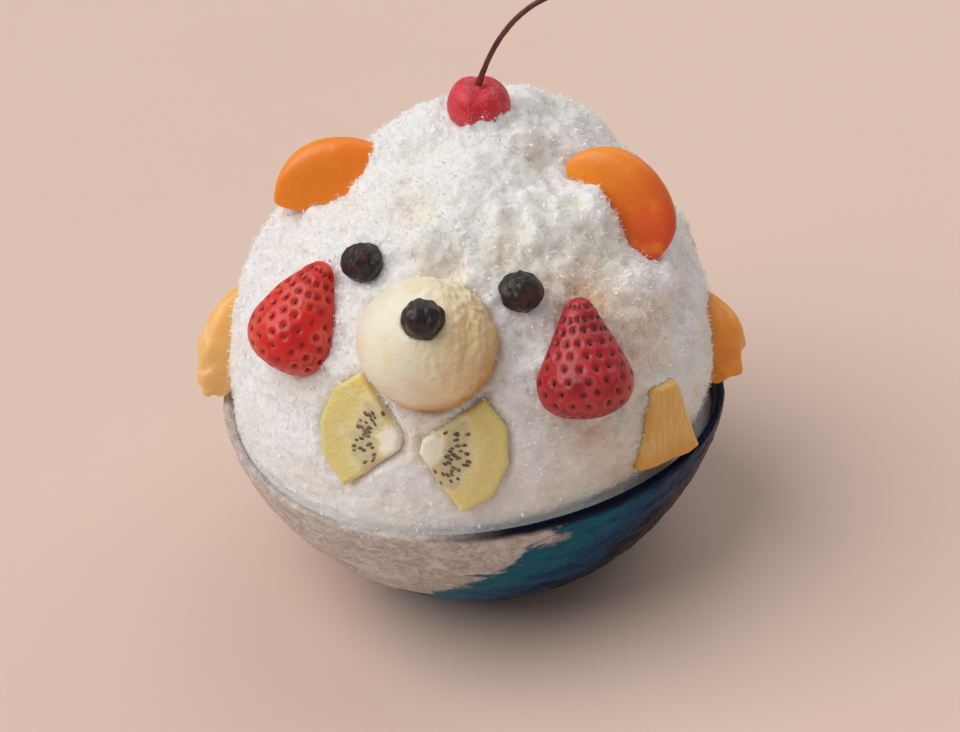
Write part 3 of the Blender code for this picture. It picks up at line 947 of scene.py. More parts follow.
DRIFTS = (
    Patch(234, 70, 4.0, -0.0026),
    Patch(247, 70, 3.0, -0.0014),
    Patch(279, 72, 3.0, -0.0015),
    Patch(335, 75, 3.2, -0.0020),
    Patch(263, 59, 3.5, -0.0022),
    Patch(238, 55, 3.0, -0.0014),
    Patch(298, 53, 2.5, -0.0012),
    Patch(249, 63, 3.0, 0.0018),
    Patch(5, 85.6, 2.8, 0.0066),
    Patch(300, 88.6, 2.0, 0.0012),
    Patch(42, 75, 4.0, 0.0015),
    Patch(176, 49, 3.8, 0.0030),
    Patch(182, 55, 2.4, 0.0022),
    Patch(177, 67, 4.0, -0.0036),
    Patch(222, 48, 2.3, 0.0034),
    Patch(231, 39, 2.6, -0.0014),
)
# Patches of juice stain and painted shade: the shadowed troughs near the top and the shade side at the lower
# right get the most.
JUICE_AND_SHADE_PATCHES = (
    Patch(234, 70, 6.0, 0.30),
    Patch(279, 72, 5.0, 0.15),
    Patch(335, 75, 5.5, 0.28),
    Patch(260, 58, 6.0, 0.45),
    Patch(285, 59, 5.0, 0.25),
    Patch(255, 21, 4.5, 0.40),
    Patch(309, 47, 7.0, 0.75),
    Patch(320, 33, 9.0, 0.50),
    Patch(299, 19, 9.0, 0.45),
    Patch(298, 53, 4.0, 0.25),
    Patch(225, 47, 4.0, 0.15),
    Patch(306, 6, 9.0, 0.40),
    Patch(259, 27, 4.5, 0.30),
)


@dataclass
class IceHeap:
    """The heap of shaved ice: the CAD form, closed where fruit sits in it, with a fine uneven surface."""

    bowl: GlassBowl
    fruit: Sequence[str]
    finish: IceFinish = field(default_factory=IceFinish)
    cuts: int = 90
    below: float = 0.20
    clear_of_fruit: float = 0.0012
    neighbours: int = 9
    into_glass: float = 0.00012
    bank: float = 0.0018
    bank_reach: float = 0.0028
    clearing: float = 0.0018
    shore_radius: float = 0.077
    shore_tuck: float = 0.0015
    shore_blend: float = 1.2
    shore_ease: float = 16.0
    deepest_shore: float = -8.0
    banked: Sequence[str] = ("strawberry_right", "cherry", "pineapple_wedge")
    cleared: Sequence[str] = ("kiwi_left", "kiwi_right", "ice_cream_scoop", "mandarin_ear_right")

    def build(self) -> bpy.types.Object:
        """Makes the heap as a sphere pushed out to the form.

        Returns:
            The heap.
        """
        self.middle = self.bowl.middle
        self.read_form()
        self.near_banked = joined_tree(self.banked)
        self.near_cleared = joined_tree(self.cleared)
        work = bmesh.new()
        bmesh.ops.create_icosphere(work, subdivisions=1, radius=1.0)
        bmesh.ops.subdivide_edges(work, edges=work.edges, cuts=self.cuts, use_grid_fill=True)
        for vert in work.verts:
            vert.co = self.middle + self.spread_toward(vert.co.normalized())
        work.normal_update()
        hollow = work.verts.layers.float.new("hollow")
        juice_and_shade = work.verts.layers.float.new("juice_and_shade")
        moves = []
        for vert in work.verts:
            height = self.relief(vert.co)
            # Painted shade in the hollows: the deeper the relief sinks, the more of the darker, yellowish
            # colour.
            vert[hollow] = smooth_step(0.0002, -0.0016, height) * 0.5
            # Share of juice stain and painted shade.
            vert[juice_and_shade] = self.juice_and_shade_at(vert.co)
            moves.append(vert.normal * (height + self.bank_height(vert.co)))
        shifted(work, moves)
        self.tree = BVHTree.FromBMesh(work)
        self.work = work.copy()
        piece = finished(work, "ice_heap", self.finish.make("shaved_ice", True))
        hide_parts("shaved_ice")
        return piece

    def read_form(self) -> None:
        """Reads how far the CAD ice reaches in each direction, leaving out the pockets round the fruit."""
        work = cad_copy("shaved_ice")
        near = [cad_tree(node) for node in self.fruit]
        samples = []
        for vert in work.verts:
            if vert.co.z < self.middle.z - 0.004:
                continue
            if any(tree.find_nearest(vert.co, self.clear_of_fruit)[0] is not None for tree in near):
                continue
            samples.append(vert.co - self.middle)
        work.free()
        self.reaches = [sample.length for sample in samples]
        self.samples = KDTree(len(samples))
        for index, sample in enumerate(samples):
            self.samples.insert(sample.normalized(), index)
        self.samples.balance()

    def heap_reach(self, toward: Vector) -> float:
        """How far the CAD heap reaches in a direction, smoothed between its vertices.

        Args:
            toward: the direction, as a unit vector.

        Returns:
            The reach, from the rim's middle.
        """
        found = self.samples.find_n(toward, self.neighbours)
        wide = max(found[2][2] * 0.8, 0.014)
        weights = [math.exp(-(apart / wide) ** 2) for _, _, apart in found]
        total = sum(self.reaches[index] * weight for (_, index, _), weight in zip(found, weights))
        return total / sum(weights)

    def spread_toward(self, way: Vector) -> Vector:
        """The calm surface's place, from the rim's middle, for a direction on an even sphere.

        Args:
            way: the direction, as a unit vector.

        Returns:
            The place.
        """
        split = 2 * self.below - 1
        high = (way.z - split) / (1 - split) if way.z > split else (way.z - split) / (1 + split)
        flat = Vector((way.x, way.y, 0)).normalized() * math.sqrt(max(0.0, 1 - high * high))
        toward = Vector((flat.x, flat.y, high)).normalized()
        azimuth = math.degrees(math.atan2(toward.y, toward.x))
        elevation = math.degrees(math.asin(max(-1.0, min(1.0, toward.z))))
        dip = self.shore_dip(azimuth)
        rise = self.bowl.lip_height(azimuth) - self.shore_tuck - dip - self.middle.z
        shore = math.degrees(math.atan2(rise, self.shore_radius))
        over = smooth_step(shore - self.shore_blend, shore + self.shore_blend, elevation)
        wall = self.bowl.tree.ray_cast(self.middle, toward)[3] if over < 1 else None
        reach = self.heap_reach(toward) if over > 0 else 0.0
        if over > 0:
            reach -= (0.0004 + dip * 0.9) * (1 - smooth_step(shore, shore + self.shore_ease, elevation))
            reach += sum(drift.at(toward) for drift in DRIFTS)
        if wall is not None:
            reach = reach * over + (wall + self.into_glass) * (1 - over)
        return toward * reach

    def shore_dip(self, azimuth: float) -> float:
        """How far below the lip the ice meets the glass: little at the left, more at the right."""
        apart = abs((azimuth - self.deepest_shore + 180) % 360 - 180)
        return 0.0006 + 0.0034 * (1 - smooth_step(20, 75, apart))

    def relief(self, place: Vector) -> float:
        """Height of the flaky surface, calm near the rim and none against the glass.

        Args:
            place: a place on the surface.

        Returns:
            The height.
        """
        above = place.z - self.middle.z
        out = smooth_step(-0.002, 0.004, above)
        if out == 0.0:
            return 0.0
        craggy = 0.40 + 0.60 * smooth_step(0.010, 0.050, above)
        swept = Vector((place.x + 0.35 * place.z, place.y, place.z * 0.8))
        clumps = 1 - abs(crumple(swept, 0.0120, 2, 5.0)) * 3.2
        ridged = 1 - abs(crumple(swept, 0.0050, 2, 7.0)) * 2.6
        fine = crumple(place, 0.0022, 3, 9.0)
        feathers = (0.4 + 0.6 * craggy) * 0.0008 * fine
        return out * (craggy * (0.0011 * clumps + 0.0008 * ridged) + feathers - 0.0004)

    def juice_and_shade_at(self, place: Vector) -> float:
        """Share of juice stain and painted shade in the ice at a place.

        Args:
            place: a place on the surface.

        Returns:
            The share, from 0 to 1.
        """
        toward = (place - self.middle).normalized()
        if toward.z < -0.1:
            return 0.0
        ragged = 1 + 0.6 * crumple(place, 0.012, 3, 15.0)
        return max(0.0, min(1.0, ragged * sum(juice_and_shade.at(toward) for juice_and_shade in JUICE_AND_SHADE_PATCHES)))

    def bank_height(self, place: Vector) -> float:
        """How much higher the ice stands by banked fruit, in ragged drifts, and lower by cleared pieces.

        Args:
            place: a place on the surface.

        Returns:
            The height.
        """
        apart = self.near_cleared.find_nearest(place, self.bank_reach)[3]
        if apart is not None:
            return -self.clearing * (1 - smooth_step(0.0, self.bank_reach, apart))
        apart = self.near_banked.find_nearest(place, self.bank_reach)[3]
        if apart is None:
            return 0.0
        high = smooth_step(0.008, 0.030, place.z - self.middle.z)
        ragged = 0.35 + 1.1 * crumple(place, 0.0034, 3, 12.0)
        return self.bank * high * max(0.0, ragged) * (1 - smooth_step(0.0, self.bank_reach, apart))


class IceShape(Enum):
    """The kinds of small ice on the heap."""

    SLIVER = "sliver"
    FLAKE = "flake"
    GRAIN = "grain"


@dataclass(frozen=True)
class IceKind:
    """One kind of small ice: how many, how large (length, width, thickness), and how far it stands up."""

    name: str
    shape: IceShape
    count: int
    small: tuple[float, float, float]
    large: tuple[float, float, float]
    tilt: float
    lift: float
    craggy_only: float


@dataclass
class IceFlakes:
    """Slivers, flakes and grains of ice that feather the heap."""

    heap: IceHeap
    kinds: Sequence[IceKind] = (
        IceKind("ice_slivers", IceShape.SLIVER, 35500, (0.8, 0.14, 0.10), (2.5, 0.28, 0.16), 40, 0.20, 0.40),
        IceKind("ice_flakes", IceShape.FLAKE, 24000, (0.6, 0.40, 0.10), (1.8, 1.0, 0.18), 34, 0.10, 0.75),
        IceKind("ice_grains", IceShape.GRAIN, 24000, (0.30, 0.25, 0.22), (0.75, 0.6, 0.45), 50, 0.10, 0.0),
    )
    fruit_depth: float = 0.0012
    flake_lean: float = 0.18

    def build(self) -> list[bpy.types.Object]:
        """Scatters each kind over the part of the heap that is in the open.

        Returns:
            The pieces, one for each kind.
        """
        self.draw = np.random.default_rng(20)
        self.read_surface()
        return [self.scatter(kind) for kind in self.kinds]

    def read_surface(self) -> None:
        """Reads the heap's faces above the shore as points, normals and areas."""
        work = self.heap.work
        work.normal_update()
        rim = self.heap.middle.z
        faces = [face for face in work.faces if face.calc_center_median().z > rim - 0.002]
        self.centres = np.array([face.calc_center_median()[:] for face in faces])
        self.normals = np.array([face.normal[:] for face in faces])
        self.areas = np.array([face.calc_area() for face in faces])
        self.fruit = [cad_tree(node) for node in self.heap.fruit]
        self.boxes = [np.array([list(corner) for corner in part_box(node)]) for node in self.heap.fruit]

    def unit_shape(self, shape: IceShape) -> bmesh.types.BMesh:
        """A small closed shape about 1 long on X, with its flat side up.

        Args:
            shape: which small ice it is.

        Returns:
            The shape.
        """
        if shape is not IceShape.SLIVER:
            work = bead()
            lean = self.flake_lean if shape is IceShape.FLAKE else 0.0
            for vert in work.verts:
                vert.co.x += lean * vert.co.y
            return work
        work = bmesh.new()
        caps = {"cap_ends": True, "cap_tris": True}
        bmesh.ops.create_cone(work, segments=3, radius1=0.5, radius2=0.0, depth=1.0, **caps)
        bmesh.ops.rotate(work, verts=work.verts, matrix=Matrix.Rotation(math.radians(90), 3, "Y"))
        bmesh.ops.triangulate(work, faces=work.faces)
        return work

    def scatter(self, kind: IceKind) -> bpy.types.Object:
        """Joins many turned copies of one shape, clear of the fruit's insides.

        Args:
            kind: what is scattered, and how much of it.

        Returns:
            The piece.
        """
        craggy = np.clip((self.centres[:, 2] - self.heap.middle.z - 0.004) / 0.030, 0, 1)
        weight = self.areas * (1 - kind.craggy_only + kind.craggy_only * craggy)
        chosen = self.draw.choice(len(self.areas), kind.count, p=weight / weight.sum())
        spots = self.centres[chosen] + self.draw.normal(0, 0.0004, (kind.count, 3))
        normals = self.normals[chosen]
        open_air = ~self.inside_fruit(spots)
        spots, normals = spots[open_air], normals[open_air]
        count = len(spots)
        loose = self.draw.normal(0, 1, (count, 3))
        tangents = np.cross(normals, loose)
        tangents /= np.linalg.norm(tangents, axis=1, keepdims=True)
        tilt = np.radians(self.draw.normal(0, kind.tilt, count))[:, None]
        along = np.cos(tilt) * tangents + np.sin(tilt) * normals
        up = np.cos(tilt) * normals - np.sin(tilt) * tangents
        turns = np.stack([along, np.cross(up, along), up], axis=2)
        share = self.draw.random((count, 1)) ** 1.6
        sizes = (np.array(kind.small) * (1 - share) + np.array(kind.large) * share) * MILLIMETRE
        spots = spots + normals * sizes[:, :1] * kind.lift
        material = self.heap.finish.make(kind.name, False)
        piece = joined_copies(kind.name, self.unit_shape(kind.shape), spots, turns, sizes, material)
        # The flakes take the same juice stain and painted shade as the heap.
        juice_and_shade_shares = np.array([self.heap.juice_and_shade_at(Vector(spot)) for spot in spots])
        stored = piece.data.attributes.new("juice_and_shade", "FLOAT", "POINT")
        stored.data.foreach_set("value", np.repeat(juice_and_shade_shares, len(piece.data.vertices) // count))
        return piece

    def inside_fruit(self, spots: np.ndarray) -> np.ndarray:
        """Marks the places that lie within a piece of fruit.

        Args:
            spots: the places, one row each.

        Returns:
            True for each place that lies inside.
        """
        inside = np.zeros(len(spots), bool)
        for tree, (low, high) in zip(self.fruit, self.boxes):
            close = np.all((spots > low) & (spots < high), axis=1)
            for index in np.nonzero(close)[0]:
                place = Vector(spots[index])
                nearest, normal, _, apart = tree.find_nearest(place)
                inside[index] |= (place - nearest).dot(normal) < -self.fruit_depth
        return inside


def joined_copies(
    name: str, shape: bmesh.types.BMesh, spots: np.ndarray, turns: np.ndarray, sizes: np.ndarray,
    material: bpy.types.Material,
) -> bpy.types.Object:
    """Joins copies of a small triangulated shape into one piece.

    Args:
        name: the piece's name.
        shape: the small shape, which is freed.
        spots: where each copy goes, one row each.
        turns: how each copy is turned, one 3 by 3 matrix each.
        sizes: how large each copy is along its own three axes.
        material: the piece's material.

    Returns:
        The piece.
    """
    points = corners(shape)
    shape.verts.index_update()
    faces = np.array([[vert.index for vert in face.verts] for face in shape.faces])
    shape.free()
    placed = np.einsum("nij,nmj->nmi", turns, points[None] * sizes[:, None, :]) + spots[:, None, :]
    count, size = len(spots), len(points)
    corners_of = (faces[None] + (np.arange(count) * size)[:, None, None]).reshape(-1, 3)
    mesh = bpy.data.meshes.new(name)
    mesh.from_pydata(placed.reshape(-1, 3).tolist(), [], corners_of.tolist())
    mesh.validate()
    return mounted(mesh, name, material)


@dataclass
class Scoop:
    """The ball of ice cream: smooth at the left, ridged and cratered at the right."""

    finish: IceCreamFinish = field(default_factory=IceCreamFinish)
    voxel: float = 0.00042

    def build(self) -> bpy.types.Object:
        """Remakes the CAD ball of small faces and roughens it.

        Returns:
            The ball.
        """
        work = refined(cad_copy("ice_cream_scoop"), 2, self.voxel)
        calmed(work, 4)
        low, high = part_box("ice_cream_scoop")
        pose = Matrix.Translation((low + high) / 2) @ facing(256, 36, 0)
        inverse = pose.inverted()
        melt_and_shade = work.verts.layers.float.new("melt_and_shade")
        work.normal_update()
        moves = []
        for vert in work.verts:
            own = inverse @ vert.co
            # Share of melt and painted shade.
            vert[melt_and_shade] = self.melt_and_shade(own)
            moves.append(vert.normal * self.relief(own))
        shifted(work, moves)
        piece = finished(work, "scoop_ball", self.finish.make(pose))
        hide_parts("ice_cream_scoop")
        return piece

    def relief(self, own: Vector) -> float:
        """Height of the ridges and craters, over the ball's own axes.

        Args:
            own: a place on the ball's own axes.

        Returns:
            The height.
        """
        right = smooth_step(-0.004, 0.012, own.x + 0.25 * own.y)
        drawn = Vector((own.x, own.y * 0.6, own.z))
        ridged = 1 - abs(crumple(drawn, 0.0075, 3, 1.0)) * 2.6
        pitted = 1 - abs(crumple(own, 0.0034, 2, 3.0)) * 2.2
        fine = 0.00016 * crumple(own, 0.0020, 3, 4.0)
        return right * (0.0007 * ridged + 0.0005 * pitted) + fine - 0.0005 * right

    def melt_and_shade(self, own: Vector) -> float:
        """Share of honey colour, along the lower right edge: melt and painted shade."""
        low = smooth_step(0.002, -0.016, own.y - 0.55 * own.x + 0.004 * ripple(own, 0.006))
        return low * smooth_step(0.009, -0.003, own.z)


@dataclass
class Raisin:
    """A plump raisin with folds down its sides."""

    node: str
    turn: Matrix
    seed: float
    width: float = 0.013
    folds: int = 5
    cuts: tuple[int, int] = (96, 64)

    def build(self, material: bpy.types.Material) -> bpy.types.Object:
        """Folds a sphere into a raisin.

        Args:
            material: the raisin's material.

        Returns:
            The raisin.
        """
        work = sphere(self.cuts, -90)
        for vert in work.verts:
            vert.co = self.surface(vert.co.normalized())
        settled(work, self.node, self.turn)
        piece = finished(work, f"{self.node}_skin", material)
        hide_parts(self.node)
        return piece

    def surface(self, way: Vector) -> Vector:
        """Place on the skin for a direction from the raisin's middle.

        Args:
            way: the direction, as a unit vector.

        Returns:
            The place.
        """
        girth = math.sqrt(max(0.0, 1 - way.y ** 2))
        around = math.atan2(way.x, way.z)
        warp = 0.5 * ripple(way, 0.7, self.seed)
        folds = 0.0005 * math.sin(self.folds * (around + warp) + self.seed) * girth
        creases = -0.0003 * (1 - abs(crumple(Vector((way.x, way.y * 0.35, way.z)), 0.50, 2, self.seed)) * 3)
        radius = self.width / 2 + folds + creases + 0.0004 * ripple(way, 0.6, self.seed)
        return Vector((way.x, way.y * 0.93, way.z * 0.90)) * radius


@dataclass
class Strawberry:
    """Half a strawberry, tip up, with its seeds in pits that stand in slanting rows."""

    node: str
    turn: Matrix
    length: float
    width: float
    finish: StrawberryFinish
    seed_colour: Colour
    shift: float
    back: float = 0.30
    widest: float = 0.36
    shoulder_loss: float = 0.35
    tip_share: float = 0.22
    plump: float = 1.9
    rows: int = 10
    columns: int = 16
    pit_depth: float = 0.00055
    pit_width: float = 0.00125
    uneven: float = 1.0
    cuts: tuple[int, int] = (220, 130)
    seed_size: tuple[float, float, float, float] = (0.00042, 0.00072, 0.00034, 1.0)

    def radius(self, along: float) -> float:
        """Half width of the berry at a share of its length, from its cut end to its tip.

        Args:
            along: share of the length.

        Returns:
            The half width.
        """
        if along > self.widest:
            girth = 1 - (1 - self.tip_share) * ((along - self.widest) / (1 - self.widest)) ** self.plump
        else:
            girth = 1 - self.shoulder_loss * (1 - along / self.widest) ** 3
        eased = max(0.0, 1 - (1 - along) ** 14) * max(0.0, 1 - along ** 40)
        return self.width / 2 * girth * math.sqrt(eased)

    def surface(self, along: float, around: float) -> Vector:
        """Place on the calm skin at a share of the length and an angle round it, 90 in front.

        Args:
            along: share of the length.
            around: angle, in radians.

        Returns:
            The place.
        """
        radius = self.radius(along)
        high = radius * math.sin(around)
        high = high if high > 0 else high * self.back
        return Vector((radius * math.cos(around), (along - 0.42) * self.length, high))

    def pits(self) -> list[tuple[float, float]]:
        """Where the seeds are, as shares of the length and angles, in rows offset by half a step.

        Returns:
            The shares and angles, one pair for each pit.
        """
        found = []
        for row in range(self.rows):
            along = 0.05 + 0.89 * (row / (self.rows - 1)) ** 0.95
            for column in range(self.columns):
                around = 2 * math.pi * (column + 0.5 * (row % 2) + self.shift) / self.columns
                jitter = Vector((row, column, self.shift * 9))
                along_here = along + 0.022 * self.uneven * noise.noise(jitter * 0.77)
                around_here = around + 0.14 * self.uneven * noise.noise(jitter * 0.91 + Vector((5, 5, 5)))
                if 0 < math.degrees(around_here) % 360 < 180:
                    found.append((along_here, around_here))
        return found

    def build(self) -> list[bpy.types.Object]:
        """Makes the skin with its pits, and the seeds.

        Returns:
            The skin and the seeds.
        """
        work = sphere(self.cuts, -90)
        pits = self.pits()
        spots = [self.surface(*pit) for pit in pits]
        tree = KDTree(len(spots))
        for index, spot in enumerate(spots):
            tree.insert(spot, index)
        tree.balance()
        for vert in work.verts:
            along = (vert.co.y + 1) / 2
            vert.co = self.surface(along, math.atan2(vert.co.z, vert.co.x))
        pit_layer = work.verts.layers.float.new("pit")
        highlit_rim_layer = work.verts.layers.float.new("highlit_rim")
        work.normal_update()
        moves = []
        for vert in work.verts:
            _, _, apart = tree.find(vert.co)
            here = self.radius(min(1.0, vert.co.y / self.length + 0.42)) * 2
            small = 0.75 + 0.25 * smooth_step(0.0, 0.6 * self.width, here)
            away = apart / (self.pit_width * small)
            pit = math.exp(-away ** 2)
            highlit_rim = math.exp(-((away - 1.45) / 0.42) ** 2)
            # Stored for the painted shade in the pits and the painted highlight on their rims.
            vert[pit_layer], vert[highlit_rim_layer] = pit, highlit_rim
            front = smooth_step(-0.001, 0.0015, vert.co.z)
            relief = self.pit_depth * small * (-pit + 0.18 * highlit_rim) * front
            moves.append(vert.normal * (relief + 0.0003 * ripple(vert.co, 0.009, self.shift)))
        skin = BVHTree.FromBMesh(work)
        shifted(work, moves)
        seeds = self.seeds(spots, skin)
        pose = settled(work, self.node, self.turn)
        bmesh.ops.transform(seeds, matrix=pose, verts=seeds.verts)
        skin_piece = finished(work, f"{self.node}_skin", self.finish.make(f"{self.node}_skin", pose))
        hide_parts(self.node)
        darker = tuple(part // 2 for part in self.seed_colour)
        seed_finish = PlainFinish(self.seed_colour, darker, 0.001, 0.35)
        seed_piece = finished(seeds, f"{self.node}_seeds", seed_finish.make(f"{self.node}_seeds"))
        return [skin_piece, seed_piece]

    def seeds(self, spots: Sequence[Vector], skin: BVHTree) -> bmesh.types.BMesh:
        """Small pointed seeds, one in each pit.

        Args:
            spots: the pits' places.
            skin: search tree of the skin.

        Returns:
            The seeds.
        """
        work = bmesh.new()
        for spot in spots:
            _, normal, _, _ = skin.find_nearest(spot)
            along = (Vector((0, 1, 0)) - normal * normal.y).normalized()
            turned = Matrix((along.cross(normal), along, normal)).transposed().to_4x4()
            place = Matrix.Translation(spot - normal * self.pit_depth * 0.85) @ turned
            sized = Matrix.Diagonal(self.seed_size)
            bmesh.ops.create_uvsphere(work, u_segments=8, v_segments=5, radius=1.0, matrix=place @ sized)
        return work


@dataclass
class Crescent:
    """A crescent of fruit with its ends on its own X axis and its thick back at +Y."""

    node: str
    turn: Matrix
    length: float
    back: float
    inner: float
    blunt: float
    bend: float
    finish: FleshFinish
    slot: str
    seed: float
    thickness: float = 0.015
    flatness: float = 0.78
    torn_end: int = 0
    tear: float = 0.003
    lobes: float = 0.0
    cuts: tuple[int, int] = (150, 110)

    def build(self) -> bpy.types.Object:
        """Bends a sphere into the crescent.

        Returns:
            The crescent.
        """
        work = sphere(self.cuts, 90, "Y")
        for vert in work.verts:
            vert.co = self.surface(vert.co)
        raised(work, self.relief)
        pose = settled(work, self.node, self.turn)
        name = f"{self.node}_flesh"
        piece = finished(work, name, self.finish.make(name, pose, self.length / 2))
        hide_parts(self.node)
        return piece

    def surface(self, way: Vector) -> Vector:
        """Place on the calm surface for a point of a unit sphere with its poles on the X axis.

        Args:
            way: the point of the sphere.

        Returns:
            The place.
        """
        along = max(-1.0, min(1.0, way.x))
        girth = math.sqrt(max(0.0, 1 - along * along))
        around = math.atan2(way.z, way.y)
        middle = (self.back + self.inner) / 2 * girth ** self.bend
        half = (self.back - self.inner) / 2 * max(0.0, 1 - abs(along) ** self.blunt) ** 0.5
        wedge = 0.62 + 0.38 * math.cos(around)
        flat = math.copysign(abs(math.sin(around)) ** self.flatness, math.sin(around))
        side = flat * self.thickness / 2 * girth ** 0.8 * wedge / 0.80
        point = Vector((along * self.length / 2, middle + half * math.cos(around), side))
        torn = self.tear * smooth_step(-0.2, 0.9, along * self.torn_end) if self.torn_end else 0.0
        shake = torn * ripple(point, 0.006, self.seed) + 0.0006 * ripple(point, 0.012, self.seed + 7)
        return point + Vector((shake, shake * 0.8, shake))

    def relief(self, own: Vector, normal: Vector) -> float:
        """Height of the juice sacs and, on torn fruit, of the pulp.

        Args:
            own: a place on the piece's own axes.
            normal: the normal there, which plays no part.

        Returns:
            The height.
        """
        sacs = crumple(Vector((own.x, own.y * 0.45, own.z)), 0.0030, 2, self.seed)
        waves = self.lobes * math.cos(own.x / self.length * 2 * math.pi * 1.5)
        torn = smooth_step(0.1, 1.0, own.x / (self.length / 2) * self.torn_end) if self.torn_end else 0.0
        return 0.00012 * sacs + waves + 0.0010 * torn * crumple(own, 0.0045, 3, self.seed + 3)


@dataclass
class KiwiSlice:
    """A wedge of kiwi: pared facets on its round edge, seeds in a band round its core."""

    node: str
    turn: Matrix
    side: int
    seed: int
    finish: KiwiFinish = field(default_factory=KiwiFinish)
    voxel: float = 0.00040
    thickness: float = 0.0075
    seeds: int = 40
    seed_band: tuple[float, float] = (0.0078, 0.0150)

    def pose(self) -> Matrix:
        """Pose of the slice, whose own origin is the middle of its core side.

        Returns:
            The pose.
        """
        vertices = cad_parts[self.node].data.vertices
        spots = np.array([(self.turn.inverted() @ vert.co)[:] for vert in vertices])
        low, high = spots.min(0), spots.max(0)
        core = low[0] if self.side > 0 else high[0]
        return self.turn @ Matrix.Translation((core, (low[1] + high[1]) / 2, (low[2] + high[2]) / 2))

    def build(self) -> list[bpy.types.Object]:
        """Remakes the CAD slice of small faces with bubbly relief, and sets its seeds.

        Returns:
            The flesh and the seeds.
        """
        work = refined(cad_copy(self.node), 0, self.voxel)
        calmed(work, 5)
        raised(work, self.relief)
        pose = self.pose()
        piece = finished(work, f"{self.node}_flesh", self.finish.make(f"{self.node}_flesh", pose))
        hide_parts(self.node)
        dots = self.seed_piece(pose, piece)
        return [piece, dots]

    def relief(self, place: Vector, normal: Vector) -> float:
        """Height of the bubbly flesh."""
        return 0.00022 * crumple(place, 0.0030, 3, self.seed) + 0.0004 * ripple(place, 0.010)

    def seed_piece(self, pose: Matrix, flesh: bpy.types.Object) -> bpy.types.Object:
        """Small dark seeds that point away from the core, set in the face that shows.

        Args:
            pose: the pose of the piece's own axes.
            flesh: the slice that the seeds are set in.

        Returns:
            The seeds.
        """
        draw = np.random.default_rng(self.seed)
        work = bmesh.new()
        places = [vert.co for vert in flesh.data.vertices]
        skin = BVHTree.FromPolygons(places, [face.vertices for face in flesh.data.polygons])
        ahead = (pose.to_3x3() @ Vector((0, 0, 1))).normalized()
        for _ in range(self.seeds):
            reach = draw.uniform(*self.seed_band)
            angle = math.radians(draw.normal(0, 30)) + (0 if self.side > 0 else math.pi)
            own = Vector((reach * math.cos(angle), reach * math.sin(angle), self.thickness))
            hit, normal, _, _ = skin.ray_cast(pose @ own, -ahead)
            if hit is None:
                continue
            way = pose.to_3x3() @ Vector((math.cos(angle), math.sin(angle), 0))
            along = (way - normal * way.dot(normal)).normalized()
            turned = Matrix((along, normal.cross(along), normal)).transposed().to_4x4()
            grown = draw.uniform(0.8, 1.25)
            sized = Matrix.Diagonal((0.00085 * grown, 0.00048 * grown, 0.00030, 1.0))
            place = Matrix.Translation(hit - normal * 0.00008) @ turned @ sized
            bmesh.ops.create_uvsphere(work, u_segments=10, v_segments=6, radius=1.0, matrix=place)
        finish = PlainFinish((88, 68, 54), (146, 124, 96), 0.0016, 0.40)
        return finished(work, f"{self.node}_seeds", finish.make(f"{self.node}_seeds"))


@dataclass
class PineappleWedge:
    """The wedge of pineapple, narrow end up, with fibres in relief."""

    finish: PineappleFinish = field(default_factory=PineappleFinish)
    voxel: float = 0.00040

    def build(self) -> bpy.types.Object:
        """Remakes the CAD wedge of small faces and draws fibres on it.

        Returns:
            The wedge.
        """
        turn = facing(304, 8, -3)
        low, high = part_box("pineapple_wedge")
        pose = Matrix.Translation((low + high) / 2) @ turn
        inverse = pose.inverted()
        work = refined(cad_copy("pineapple_wedge"), 0, self.voxel)
        calmed(work, 5)
        raised(work, lambda place, normal: self.relief(inverse @ place))
        piece = finished(work, "pineapple_flesh", self.finish.make(pose))
        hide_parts("pineapple_wedge")
        return piece

    def relief(self, own: Vector) -> float:
        """Height of the fibres, over the wedge's own axes."""
        drawn = Vector((own.x, own.y * 0.18, own.z))
        return 0.00022 * crumple(drawn, 0.0016, 3, 2.0) + 0.0005 * ripple(own, 0.008)


